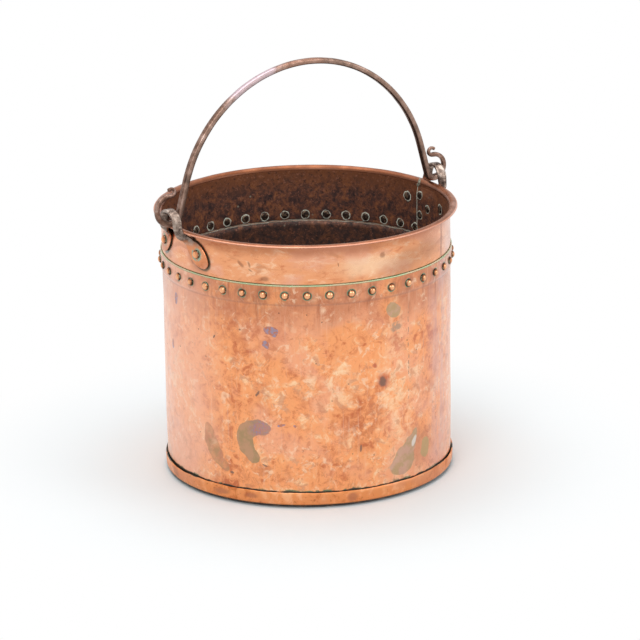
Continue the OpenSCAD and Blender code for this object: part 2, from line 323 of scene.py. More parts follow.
def make_wall():
    mouth = BODY_R - SHEET
    bend = (FOOT_R - FOOT_BEND, FLANGE_Z + FOOT_BEND)
    band_in = BODY_R + SEAT
    runs = [
        ("flange", [(FLANGE_IN_R, FLANGE_Z + 0.3), (FLANGE_IN_R + 0.3, FLANGE_Z)]),
        ("outside", arc_points(bend, FOOT_BEND, -90, 0, 7)),
        ("outside", [(BODY_R, JOGGLE_Z - 1.4), (BODY_R + 0.12, JOGGLE_Z - 0.3)]),
        ("outside", [(BAND_R - 0.2, BAND_Z - 0.2), (BAND_R, BAND_Z + 0.9)]),
        ("outside", [(BAND_R, BAND_TOP - 0.55), (BAND_R - 0.18, BAND_TOP - 0.12)]),
        ("top", [(BAND_R - 0.55, BAND_TOP), (band_in + 0.3, BAND_TOP), (band_in, BAND_TOP - 0.4)]),
        ("inside", [(band_in, BAND_Z), (mouth, JOGGLE_Z)]),
        ("inside", arc_points(bend, FOOT_BEND - SHEET, 0, -90, 6)),
        ("flange top", [(FLANGE_IN_R + 0.3, FLANGE_Z + SHEET), (FLANGE_IN_R, FLANGE_Z + SHEET - 0.3)]),
    ]
    rows = section_path(runs, 3.0)
    return revolve("bucket_wall", rows, 460, dressed_wall,
                   lambda row: 1 if row[2] in ("inside", "flange", "flange top") else 0)


# ---------------------------------------------------------------------------
# The collar: an upright sheet, rolled over at the lip, its end lapped inside
# ---------------------------------------------------------------------------
def dressed_collar(angle, r, z, label):
    """Planished sheet with slow waves; the lip keeps a few small dings."""
    u = angle / (2 * np.pi)
    v = np.full_like(u, (z - COLLAR_Z) / (LIP_Z - COLLAR_Z))
    slow = 0.16 * roll_noise(u, v, 22, 3, 21) + 0.07 * roll_noise(u, v, 60, 5, 22)
    if label == "outside":
        free = np.clip((z - BAND_TOP) / 6, 0, 1) * np.clip((ROLL_Z - z) / 10, 0, 1)
        pads = np.zeros_like(u)
        for middle in (0, math.pi):
            for turn in (-1, 1):
                away = np.angle(np.exp(1j * (angle - middle - turn * PAD_ARC / BODY_R)))
                pads = np.maximum(pads, np.clip(1.6 - np.abs(away) * BODY_R / 14, 0, 1))
        return r + free * slow * (1 - pads), z
    if label == "lip":
        ding = 0.12 * (roll_noise(u, v * 0, 70, 1, 23) - 1)
        return r + ding, z + 0.5 * ding
    return r, z


def make_collar():
    roll = (ROLL_R, ROLL_Z)
    edge = np.radians(70)
    out = (3.4 - SHEET / 2) * np.array([math.sin(edge), -math.cos(edge)])
    tip = np.array(roll) + LIP_R * np.array([math.cos(edge), math.sin(edge)]) + out
    turn = 70
    runs = [
        ("inside", [(COLLAR_IN_R + 0.3, COLLAR_Z), (COLLAR_IN_R, COLLAR_Z + 0.3)]),
        ("lip", arc_points(roll, LIP_R + SHEET / 2, 180, turn, 14)),
        ("lip", arc_points(tip, SHEET / 2, turn, turn - 180, 8)),
        ("under lip", arc_points(roll, LIP_R - SHEET / 2, turn, 180, 10)),
        ("outside", [(BODY_R, ROLL_Z - 0.4), (BODY_R, COLLAR_Z + 0.3), (BODY_R - 0.3, COLLAR_Z)]),
    ]
    rows = section_path(runs, 2.6)
    ring = revolve("bucket_collar", rows, 460, dressed_collar,
                   lambda row: 1 if row[2] == "inside" else 0)
    return join_pieces(ring, [make_lap_end(), make_solder()])


def shell_patch(name, from_deg, to_deg, low, high, inner, out_r, across, up, slot):
    """A curved plate between two angles and two heights; inner(angle, height) is its inside."""
    angle = np.radians(np.linspace(from_deg, to_deg, across))
    height = np.linspace(low, high, up)
    points = [(side(a, h) * math.cos(a), side(a, h) * math.sin(a), h)
              for side in (inner, lambda a, h: out_r) for h in height for a in angle]
    half = across * up
    faces = []
    for k in range(up - 1):
        for j in range(across - 1):
            a = k * across + j
            faces.append((a, a + across, a + across + 1, a + 1))
            faces.append((half + a, half + a + 1, half + a + across + 1, half + a + across))
    rim = [j for j in range(across)] + [k * across + across - 1 for k in range(1, up)]
    rim += [(up - 1) * across + j for j in range(across - 2, -1, -1)]
    rim += [k * across for k in range(up - 2, 0, -1)]
    for a, b in zip(rim, rim[1:] + rim[:1]):
        faces.append((a, b, half + b, half + a))
    return add_piece(name, points, faces, [slot] * len(faces))


def lap_inside(angle, height):
    """The lapped end's inside radius: it eases out of the sheet at one side and at the top."""
    beside = ease(min(1.0, max(0.0, (math.degrees(angle) - LAP_FROM + 5) / 5)))
    below = ease(min(1.0, max(0.0, (LAP_TOP - height) / 14)))
    return COLLAR_IN_R + 0.1 - (SHEET + 0.1) * beside * below


def make_lap_end():
    """The collar's inner end, lying on the sheet inside."""
    return shell_patch("lap_end", LAP_FROM - 5, LAP_TO, COLLAR_Z + 0.3, LAP_TOP,
                       lap_inside, COLLAR_IN_R + 0.4, 40, 24, 1)


def make_solder():
    """A smeared run of solder where the lap dies into the lip."""
    rng = np.random.default_rng(31)
    points = []
    faces = []
    for k in range(5):
        work = bmesh.new()
        bmesh.ops.create_icosphere(work, subdivisions=3, radius=1)
        angle = math.radians(LAP_TO - 0.6 + rng.uniform(-0.5, 0.5))
        height = LIP_Z - 8 + k * 1.6
        size = np.array([1.1, rng.uniform(2.2, 3.6), rng.uniform(1.6, 2.6)])
        radius = COLLAR_IN_R + (0.2 if k < 3 else 1.4 + (k - 3) * 1.8)
        base = len(points)
        for vert in work.verts:
            p = np.array(vert.co) * size
            x = radius + p[0]
            points.append((x * math.cos(angle) - p[1] * math.sin(angle),
                           x * math.sin(angle) + p[1] * math.cos(angle), height + p[2]))
        faces += [tuple(base + v.index for v in f.verts) for f in work.faces]
        work.free()
    points = np.array(points)
    points[:, 2] = np.minimum(points[:, 2], LIP_Z - 0.05)
    return add_piece("lap_solder", points, faces, [2] * len(faces))


def join_pieces(main, others):
    """Puts other meshes into the main one as separate closed shells."""
    work = bmesh.new()
    for piece in [main] + others:
        work.from_mesh(piece.data)
    work.to_mesh(main.data)
    work.free()
    main.data.shade_smooth()
    for piece in others:
        bpy.data.objects.remove(piece)
    return main


# ---------------------------------------------------------------------------
# The base pan: a dished disc whose turned-up edge stands off the wall in places
# ---------------------------------------------------------------------------
def flare(angle):
    """How far the pan's edge has sprung away from the wall, by angle."""
    spread = 0.0
    for middle, width, rise in ((175, 16, 1.5), (-93, 30, 0.35), (-45, 12, 1.2), (70, 40, 0.5)):
        away = np.degrees(np.angle(np.exp(1j * (angle - math.radians(middle)))))
        spread = spread + rise * np.exp(-(away / width) ** 2)
    return spread


def dressed_pan(angle, r, z, label):
    u = angle / (2 * np.pi)
    v = np.full_like(u, np.clip((z - PAN_Z) / (PAN_TOP - PAN_Z), 0, 1))
    if label in ("edge", "edge top", "edge inside"):
        rise = np.clip((z - PAN_Z - PAN_BEND) / 8, 0, 1)
        uneven = 0.28 * roll_noise(u, v, 40, 2, 41) + 0.1 * roll_noise(u, v, 110, 3, 42)
        ragged = 0.45 * roll_noise(u, v * 0, 52, 1, 43) + 0.22 * roll_noise(u, v * 0, 150, 1, 44) - 0.67
        if label == "edge inside":
            uneven = 0 * u
        return r + rise * (flare(angle) + uneven), z + ragged * (z > PAN_TOP - 2.5)
    if label == "floor":
        fade = np.clip(r / 60, 0, 1) * np.clip((PAN_R - PAN_BEND - r) / 20, 0, 1)
        return r, z + fade * 0.18 * (roll_noise(u, np.full_like(u, r / PAN_R), 16, 5, 45) + 1)
    return r, z


def pan_slot(row):
    """0 outside, 1 where it is shut against the wall, 2 where it is the bucket's own floor."""
    if row[2] not in ("edge inside", "bend inside", "floor inside"):
        return 0
    return 2 if row[0] < FLANGE_IN_R + 6 else 1


def make_pan():
    bend = (PAN_R - PAN_BEND, PAN_Z + PAN_BEND)
    inner = PAN_R - SHEET
    runs = [
        ("floor", [(0, PAN_Z)]),
        ("bend", arc_points(bend, PAN_BEND, -90, 0, 9)),
        ("edge", [(PAN_R, PAN_Z + PAN_BEND + 0.5), (PAN_R, PAN_TOP - 0.5)]),
        ("edge top", [(PAN_R - 0.16, PAN_TOP - 0.15), (PAN_R - 0.6, PAN_TOP)]),
        ("edge top", [(inner + 0.3, PAN_TOP), (inner, PAN_TOP - 0.4)]),
        ("edge inside", [(inner, PAN_TOP - 1.2)]),
        ("bend inside", arc_points(bend, PAN_BEND - SHEET, 0, -90, 6)),
        ("floor inside", [(0, PAN_Z + SHEET)]),
    ]
    rows = section_path(runs, 5.0)
    return revolve("bucket_pan", rows, 420, dressed_pan, pan_slot)


# ---------------------------------------------------------------------------
# The ears: a forged strip arched over the bail's pin, twisted at each leg and
# flattened into a leaf-shaped pad
# ---------------------------------------------------------------------------
def on_bucket(radius, arc, z):
    """A point at a radius and at an arc length round from the ear's middle."""
    turn = arc / radius
    return np.array([radius * math.cos(turn), radius * math.sin(turn), z])


def leaf_half_width(along):
    """Half width of a pad at a distance from its rivet."""
    point_l = PAD_L / 2 * 1.15
    side_r = ((PAD_W / 2) ** 2 + point_l ** 2) / PAD_W
    return math.sqrt(side_r ** 2 - along ** 2) - (side_r - PAD_W / 2)


def ear_half():
    """Stations of one leg, from the pad's tip to the top of the arch.

    Each is an arc round from the ear's middle, a height, a radius, half a width, half a
    thickness, a twist in degrees and a dish."""
    surface = BODY_R + SEAT
    long_arc = math.sin(PAD_SLANT)
    long_z = math.cos(PAD_SLANT)
    stations = []
    half_l = PAD_L / 2
    # Pad, from its blunt tip to its neck
    for along in np.concatenate([[-half_l, -half_l + 0.25, -half_l + 0.8, -half_l + 1.8],
                                 np.linspace(-half_l + 3, 13.5, 22)]):
        arc = PAD_ARC - along * long_arc
        z = PAD_Z + along * long_z
        tip = min(1.0, (along + half_l) / 1.8)
        soft = math.sqrt(max(0.0, 1 - (1 - tip) ** 2))
        half_w = leaf_half_width(along) * (0.35 + 0.65 * soft)
        half_t = PAD_T / 2 * (0.35 + 0.65 * soft)
        stations.append((arc, z, surface + PAD_T / 2, half_w, half_t, 90.0, 0.22 * soft))
    # Neck and leg, up past the lip to the arch
    clear = LIP_OUT_R + 0.3 + STRIP_T / 2
    guide = [
        (PAD_ARC - 13.5 * long_arc, PAD_Z + 13.5 * long_z, surface + PAD_T / 2, 8.4, 1.6, 90, 0.22),
        (23.4, PAD_Z + 12.4, surface + 2.6, 7.2, 1.75, 88, 0.1),
        (20.6, PAD_Z + 16.0, surface + 5.4, 6.2, 1.9, 82, 0.0),
        (18.3, ROLL_Z + 0.4, clear - 0.6, 5.6, 2.0, 72, 0.0),
        (16.7, LIP_Z + 0.4, ARCH_X - 0.2, 5.3, 2.0, 60, 0.0),
        (ARCH_R, AXIS_Z, ARCH_X, 5.25, 2.0, 46, 0.0),
    ]
    stations += [tuple(row) for row in spline(guide, 26)[1:]]
    # Arch about the bail's axis
    for turn in np.linspace(0, 90, 20)[1:]:
        twist = 46 * max(0.0, 1 - turn / 78) ** 1.2
        stations.append((*on_circle(0, AXIS_Z, ARCH_R, turn), ARCH_X, 5.25, 2.0, twist, 0.0))
    return stations


def make_ear(name, middle, seed):
    """A whole ear at an angle round the bucket, with slow hammered unevenness."""
    half = ear_half()
    points = [on_bucket(radius, arc, z) for arc, z, radius, *_ in half]
    points += [p * (1, -1, 1) for p in points[-2::-1]]
    sizes = [(w, t, twist, dish) for _, _, _, w, t, twist, dish in half]
    sizes += [(w, t, -twist, dish) for w, t, twist, dish in sizes[-2::-1]]
    points = np.array(points)
    run = headings(points)
    rng = np.random.default_rng(seed)
    uneven = np.interp(np.arange(len(points)), np.linspace(0, len(points), 17), rng.uniform(-1, 1, 17))
    c, s = math.cos(middle), math.sin(middle)
    spin = np.array([[c, -s, 0], [s, c, 0], [0, 0, 1]])
    stations = []
    for p, t, (half_w, half_t, twist, dish), dent in zip(points, run, sizes, uneven):
        flat = np.array([p[0], p[1], 0]) / math.hypot(p[0], p[1])
        side_flat = flat - t * np.dot(flat, t)
        side_flat /= np.linalg.norm(side_flat)
        inward = np.cross(side_flat, t)
        a = math.radians(twist)
        # At no twist the width points out from the bucket; at a full twist the face does
        side = side_flat * math.cos(a) + inward * math.sin(a)
        normal = np.cross(t, side)
        if abs(twist) > 80:
            normal = side_flat
            side = np.cross(normal, t)
        if normal @ side_flat < 0 and abs(twist) > 1:
            normal = -normal
        if abs(twist) <= 1:
            normal = np.cross(side, t)
        centre = spin @ p
        stations.append((centre, spin @ side, spin @ normal,
                         half_w * (1 + 0.02 * dent), half_t * (1 + 0.03 * dent), dish))
    return sweep(name, stations, 28, 3.6)


# ---------------------------------------------------------------------------
# The bail: softened square bar, bowed, with a straight leg, a pin and a hook
# that tapers into a small curl at each end
# ---------------------------------------------------------------------------
def hook_path(gap, extra):
    """Rows of x, z above the axis, half width and half thickness, from the leg's foot to the tip."""
    hook_r = (ARCH_R + STRIP_T / 2 + gap + HOOK_BAR) / 2
    x = BEND_X + extra
    tip_x = x - 3
    rows = []
    # The bend, the pin, the hook, and the curl with its slightly swollen tip
    for turn in np.linspace(180 + 15, 270, 9)[1:]:
        rows.append((*on_circle(BEND_X, BEND_R, BEND_R, turn), PIN_BAR + 0.1, PIN_BAR - 0.1))
    rows.append((x + 0.5, 0, PIN_BAR + 0.05, PIN_BAR + 0.05))
    for turn in np.linspace(-90, 90, 22)[1:]:
        taper = (turn + 90) / 180
        size = PIN_BAR + (HOOK_BAR - PIN_BAR) * min(1, taper * 2.2)
        rows.append((*on_circle(x, hook_r, hook_r, turn), size, size))
    for turn in np.linspace(270, 50, 22):
        taper = (270 - turn) / 220
        size = HOOK_BAR - 0.2 + (TIP_BAR - HOOK_BAR + 0.2) * min(1, taper * 1.8)
        size += 0.25 if turn < 62 else 0
        rows.append((*on_circle(tip_x, 2 * hook_r + TIP_CURL, TIP_CURL, turn), size, size))
    return rows


def make_bail():
    """The bow is an arc that meets two straight legs, which lean out by the tilt to the bends."""
    out, up = math.cos(LEG_TILT), math.sin(LEG_TILT)
    leg_x = BEND_X - BEND_R * out
    leg_z = BEND_R * (1 - up)
    bow = (leg_x * out - (BAIL_RISE - leg_z) * up) / (1 - up)
    bow_z = BAIL_RISE - bow
    top = (bow * out, bow_z + bow * up)
    rows = []
    for turn in np.linspace(90, 15, 60):
        grow = 1 + 0.035 * (90 - turn) / 75
        rows.append((*on_circle(0, bow_z, bow, turn), BAIL_W / 2 * grow, BAIL_T / 2 * grow))
    for t in np.linspace(0, 1, 9)[1:]:
        grow = 1.035 - 0.04 * t
        rows.append((top[0] + (leg_x - top[0]) * t, top[1] + (leg_z - top[1]) * t,
                     BAIL_W / 2 * grow, BAIL_T / 2 * grow + 0.25 * t))
    right = rows + hook_path(7.7, 2)
    left = rows + hook_path(12.7, 5)
    path = [(-x, z, w, t) for x, z, w, t in left[::-1]] + right[1:]
    path = spline(path, 420)
    centre = np.stack([path[:, 0], 0 * path[:, 0], path[:, 1] + AXIS_Z], 1)
    run = headings(centre)
    rng = np.random.default_rng(51)
    places = np.linspace(0, len(path), 64)
    dents = [np.interp(np.arange(len(path)), places, rng.uniform(-1, 1, 64)) for _ in range(3)]
    bowed = np.clip((path[:, 1] - 20) / 30, 0, 1)
    across = np.array([0, 1, 0])
    stations = []
    for k in range(len(path)):
        normal = np.cross(across, run[k])
        half_w = path[k, 2] * (1 + 0.014 * dents[0][k]) - 0.03
        half_t = path[k, 3] * (1 + 0.016 * dents[1][k]) - 0.08
        shift = across * 0.12 * dents[2][k] * bowed[k]
        stations.append((centre[k] + shift, across, normal, half_w, half_t, 0.0))
    ends = []
    for near, far in ((stations[0], stations[1]), (stations[-1], stations[-2])):
        back = near[0] - far[0]
        back /= np.linalg.norm(back)
        cap = []
        for t in (0.35, 0.7, 0.95):
            shrink = math.sqrt(1 - t * t)
            cap.append((near[0] + back * t * near[3], near[1], near[2],
                        near[3] * shrink, near[4] * shrink, 0.0))
        ends.append(cap)
    return sweep("bail_bar", ends[0][::-1] + stations + ends[1], 28, 3.4)


# ---------------------------------------------------------------------------
# Rivets: one closed rivet set at every point of a ring by Geometry Nodes
# ---------------------------------------------------------------------------
def rivet_template(name, head_d, head_h, shank_l, flat, tail_d, down):
    """A head, a shank and a hammered tail. Its attribute "crown" runs from the rim to the top."""
    dome_r = (head_d * head_d / 4 - flat * flat / 4 + head_h * head_h) / (2 * head_h)
    radius = math.hypot(flat / 2, dome_r)
    rows = [(0.0, head_h, 1.0)]
    for h in np.linspace(head_h, 0.32, 11):
        rows.append((math.sqrt(max(0.0, radius ** 2 - (h + dome_r - head_h) ** 2)), h, h / head_h))
    rim = head_d / 2
    rows += [(rim, 0.18, 0.04), (rim - 0.15, 0.0, 0.0), (SHANK_R, 0.0, 0.0)]
    rows += [(SHANK_R, -shank_l, -0.2), (tail_d / 2 - 0.25, -shank_l, -0.3)]
    rows += [(tail_d / 2, -shank_l - 0.25, -0.5), (tail_d / 2 - 0.3, -shank_l - TAIL_H + 0.35, -0.8)]
    rows += [(tail_d / 2 - 1.4, -shank_l - TAIL_H + 0.05, -0.9), (0.0, -shank_l - TAIL_H, -1.0)]
    around = 24
    points = []
    crown = []
    for r, h, c in rows:
        for j in range(around):
            a = 2 * math.pi * j / around
            y, z = r * math.cos(a), r * math.sin(a)
            points.append((z, y, -h) if down else (h, y, z))
            crown.append(c)
    return add_piece(name, points, skin(len(rows), around), crown=crown)


def rivet_tree(spin_only):
    """Sets the rivet at each point, turned to its angle round the bucket, each a little different.

    Rivets on the side spin about their radial shanks, those under the pan about upright ones."""
    tree = bpy.data.node_groups.new("set_rivets", "GeometryNodeTree")
    for name, kind in (("Geometry", "Geometry"), ("Rivet", "Object"), ("Size spread", "Float"),
                       ("Lean", "Float"), ("Seed", "Int"), ("Finish", "Material")):
        tree.interface.new_socket(name, in_out="INPUT", socket_type="NodeSocket" + kind)
    tree.interface.new_socket("Geometry", in_out="OUTPUT", socket_type="NodeSocketGeometry")
    enter = {socket.name: Wire(tree, socket) for socket in tree.nodes.new("NodeGroupInput").outputs}

    def draw(low, high, seed):
        return add(tree, "FunctionNodeRandomValue", {"Min": low, "Max": high, "Seed": seed},
                   out="Value", data_type="FLOAT")

    def turned(instances, axis, angle):
        spin = add(tree, "ShaderNodeVectorMath", {0: axis, "Scale": angle}, operation="SCALE")
        return add(tree, "GeometryNodeRotateInstances", {"Instances": instances, "Rotation": spin})

    x, y, _ = axes(add(tree, "GeometryNodeInputPosition"))
    aim = add(tree, "ShaderNodeCombineXYZ", {2: y.math("ARCTAN2", x)})
    info = add(tree, "GeometryNodeObjectInfo", {"Object": enter["Rivet"]}, out="Geometry")
    least = add(tree, "ShaderNodeMath", {0: 1.0, 1: enter["Size spread"]}, operation="SUBTRACT")
    size = draw(least, 1.0, enter["Seed"])
    wider = {0: size, 1: size, 2: 1.0} if spin_only else {0: 1.0, 1: size, 2: size}
    grown = add(tree, "ShaderNodeCombineXYZ", wider)
    placed = add(tree, "GeometryNodeInstanceOnPoints",
                 {"Points": enter["Geometry"], "Instance": info, "Rotation": aim, "Scale": grown})
    shank = (0, 0, 1) if spin_only else (1, 0, 0)
    spun = turned(placed, shank, draw(0.0, FULL_TURN, enter["Seed"]))
    leant = turned(spun, (0, 1, 0.6), draw(enter["Lean"] * -1.0, enter["Lean"], enter["Seed"]))
    toned = add(tree, "GeometryNodeStoreNamedAttribute",
                {"Geometry": leant, "Name": "tone", "Value": draw(0.0, 1.0, 7)},
                data_type="FLOAT", domain="INSTANCE")
    real = add(tree, "GeometryNodeRealizeInstances", {"Geometry": toned})
    done = add(tree, "GeometryNodeSetMaterial", {"Geometry": real, "Material": enter["Finish"]})
    tree.links.new(done.socket, tree.nodes.new("NodeGroupOutput").inputs[0])
    return tree


def set_rivets(name, places_mm, template, tree, spread, lean, seed, finish):
    """Rivets at the given places as one plain mesh."""
    points = bpy.data.meshes.new(name + "_places")
    points.from_pydata([tuple(np.array(p) * MM) for p in places_mm], [], [])
    holder = put(name + "_places", points)
    setter = holder.modifiers.new("set_rivets", "NODES")
    setter.node_group = tree
    values = {"Rivet": template, "Size spread": spread, "Lean": lean, "Seed": seed, "Finish": finish}
    for socket in tree.interface.items_tree:
        if socket.in_out == "INPUT" and socket.name in values:
            setter[socket.identifier] = values[socket.name]
    bpy.context.view_layer.update()
    shown = holder.evaluated_get(bpy.context.evaluated_depsgraph_get())
    mesh = bpy.data.meshes.new_from_object(shown)
    holder.modifiers.remove(setter)
    bpy.data.objects.remove(holder)
    mesh.name = name
    return put(name, mesh)


def ring_places(count, phase, radius, z):
    turn = np.radians(phase + 360 * np.arange(count) / count)
    return [(radius * math.cos(a), radius * math.sin(a), z) for a in turn]


# ---------------------------------------------------------------------------
# Finishes
# ---------------------------------------------------------------------------
def paint(code):
    """A hex sRGB colour as linear RGBA."""
    parts = [int(code[k:k + 2], 16) / 255 for k in (1, 3, 5)]
    return tuple(c / 12.92 if c <= 0.04045 else ((c + 0.055) / 1.055) ** 2.4 for c in parts) + (1.0,)


class Wire:
    """A node's output that formulas can use: * + - as usual, % for the remainder, | for the larger."""

    def __init__(self, tree, socket):
        self.tree = tree
        self.socket = socket

    def math(self, way, other=0.0):
        return add(self.tree, "ShaderNodeMath", {0: self, 1: other}, operation=way)

    def __mul__(self, other):
        return self.math("MULTIPLY", other)

    def __add__(self, other):
        return self.math("ADD", other)

    def __sub__(self, other):
        return self.math("SUBTRACT", other)

    def __mod__(self, other):
        return self.math("FLOORED_MODULO", other)

    def __or__(self, other):
        return self.math("MAXIMUM", other)

    def __abs__(self):
        return self.math("ABSOLUTE")

    def length(self):
        return add(self.tree, "ShaderNodeVectorMath", {0: self}, out="Value", operation="LENGTH")


def add(tree, kind, inputs=None, out=0, stops=(), **settings):
    """Adds a node with its settings, sets or links its inputs, and returns one output.

    A colour is given as sRGB hex, and a ramp's stops as places and colours."""
    node = tree.nodes.new(kind)
    for name, value in settings.items():
        setattr(node, name, value)
    for key, value in (inputs or {}).items():
        if isinstance(value, Wire):
            tree.links.new(value.socket, node.inputs[key])
        elif isinstance(value, str) and value.startswith("#"):
            node.inputs[key].default_value = paint(value)
        else:
            node.inputs[key].default_value = value
    for _ in stops[2:]:
        node.color_ramp.elements.new(0.5)
    for k, (place, colour) in enumerate(stops):
        node.color_ramp.elements[k].position = place
        node.color_ramp.elements[k].color = paint(colour)
    return Wire(tree, node.outputs[out]) if node.outputs else None


def axes(where):
    """The three coordinates of a place, in metres."""
    split = add(where.tree, "ShaderNodeSeparateXYZ", {0: where}).socket.node
    return [Wire(where.tree, socket) for socket in split.outputs]


def height_mm(where):
    return axes(where)[2] * 1000


def radius_mm(where):
    """Distance from the bucket's upright middle line."""
    x, y, _ = axes(where)
    return add(where.tree, "ShaderNodeCombineXYZ", {0: x, 1: y}).length() * 1000


def stretch(where, upright):
    """Coordinates for marks drawn out upright by a factor under 1, or sideways by one over 1."""
    return add(where.tree, "ShaderNodeVectorMath", {0: where, 1: (1, 1, upright)}, operation="MULTIPLY")


def wander(where, size_mm, reach_mm):
    """Coordinates pushed about, so that stains and lines get a natural edge."""
    cloud = add(where.tree, "ShaderNodeTexNoise",
                {"Vector": where, "Scale": 1000 / size_mm, "Detail": 3.0}, out="Color")
    push = add(where.tree, "ShaderNodeVectorMath", {0: cloud, 1: (0.5, 0.5, 0.5)}, operation="SUBTRACT")
    push = add(where.tree, "ShaderNodeVectorMath", {0: push, "Scale": 2 * reach_mm * MM},
               operation="SCALE")
    return add(where.tree, "ShaderNodeVectorMath", {0: where, 1: push}, operation="ADD")


def grain(where, size_mm, detail=3.0, rough=0.55, warp=0.0):
    """Cloudy value from 0 to 1 whose blotches are about size_mm across."""
    return add(where.tree, "ShaderNodeTexNoise",
               {"Vector": where, "Scale": 1000 / size_mm, "Detail": detail, "Roughness": rough,
                "Distortion": warp})


def pits(where, spacing_mm, low, high):
    """Mask of round pits, one to a cell."""
    cells = add(where.tree, "ShaderNodeTexVoronoi", {"Vector": where, "Scale": 1000 / spacing_mm})
    return level(cells, low, high)


def level(value, low, high, to_low=0.0, to_high=1.0):
    """Spreads low..high of a value over another range, with soft ends."""
    return add(value.tree, "ShaderNodeMapRange", {0: value, 1: low, 2: high, 3: to_low, 4: to_high},
               interpolation_type="SMOOTHSTEP")


def ring_mask(away, inner, outer, soft):
    """1 between two distances, 0 elsewhere."""
    return level(away, inner - soft, inner + soft) * level(away, outer - soft, outer + soft, 1.0, 0.0)


def any_of(masks):
    whole = masks[0]
    for mask in masks[1:]:
        whole = whole | mask
    return whole


def ramp(value, stops):
    return add(value.tree, "ShaderNodeValToRGB", {0: value}, stops=stops)


def lay(under, over, mask):
    """Lays one colour over another by a mask."""
    return add(mask.tree, "ShaderNodeMix", {0: mask, 6: under, 7: over}, out=2, data_type="RGBA")


def on_side(angle_deg, z, radius):
    """A place in metres on the bucket's side."""
    turn = math.radians(angle_deg)
    return radius * math.cos(turn) * MM, radius * math.sin(turn) * MM, z * MM


def oval(where, angle_deg, z, half_w, half_h, lean_deg=0.0):
    """Distance from the middle of an oval on the bucket's side: 1 at its edge.

    A positive lean tips the oval's top to the left."""
    turn = (math.radians(lean_deg), 0, math.radians(angle_deg))
    return add(where.tree, "ShaderNodeMapping",
               {"Vector": where, "Location": on_side(angle_deg, z, BODY_R), "Rotation": turn,
                "Scale": (0.05, half_w * MM, half_h * MM)}, vector_type="TEXTURE").length()


def stain(where, *shape, soft=0.12):
    """Mask of one oval stain; its shape is what oval() is given."""
    return level(oval(where, *shape), 1.0 - soft, 1.0 + soft, 1.0, 0.0)


def run_of_acid(where, ovals, soft=0.05):
    """Mask of a stain that ran: ovals whose soft fields melt into one shape."""
    fields = [level(oval(where, *shape), 0.0, 1.5, 1.0, 0.0) for shape in ovals]
    whole = fields[0]
    for field in fields[1:]:
        whole = whole + field
    return level(whole, 0.4 - soft, 0.4 + soft)


def around_rivets(where, radius):
    """Distance in millimetres from the nearest band rivet, over a surface of the given radius."""
    x, y, height = axes(where)
    pitch = 2 * math.pi / BAND_COUNT
    start = 20 * math.pi + pitch / 2 - math.radians(BAND_PHASE)
    arc = ((y.math("ARCTAN2", x) + start) % pitch - pitch / 2) * radius
    rise = height * 1000 - BAND_RIVET_Z
    return (arc * arc + rise * rise).math("SQRT")


def round_spot(where, angle_deg, z, radius, inner, outer, soft):
    """Ring round a place on the bucket's side."""
    spot = on_side(angle_deg, z, radius)
    off = add(where.tree, "ShaderNodeVectorMath", {0: where, 1: spot}, operation="SUBTRACT")
    return ring_mask(off.length() * 1000, inner, outer, soft)


def copper_ground(where, deep, mid, pale, pink):
    """Mottled polished copper: cloudy orange with paler hammered spots and pinkish drifts."""
    drift = grain(where, 46, 4.0, 0.6, 0.3)
    cloud = grain(where, 13, 6.0, 0.66, 0.7)
    colour = ramp(drift * 0.4 + cloud * 0.6, [(0.38, deep), (0.47, mid), (0.53, mid), (0.62, pale)])
    blush = level(grain(where, 60, 3.0, 0.5), 0.46, 0.62)
    return lay(colour, pink, blush * 0.55), cloud


def close_finish(colour, rough, metal, height, bump, reach_mm, wax=0.0):
    """Metal shader with its colour, roughness, metalness, a bump of real depth and a wax film."""
    relief = add(colour.tree, "ShaderNodeBump",
                 {"Strength": bump, "Distance": reach_mm * MM, "Height": height})
    shade = add(colour.tree, "ShaderNodeBsdfPrincipled",
                {"Base Color": colour, "Roughness": rough, "Metallic": metal, "Normal": relief,
                 "Coat Weight": wax, "Coat Roughness": 0.25})
    add(colour.tree, "ShaderNodeOutputMaterial", {"Surface": shade})


def new_finish(name, make, *details):
    """A material; make is given the piece's own coordinates and lays the nodes."""
    finish = bpy.data.materials.new(name)
    finish.use_nodes = True
    finish.node_tree.nodes.clear()
    make(add(finish.node_tree, "ShaderNodeTexCoord", out="Object"), *details)
    return finish


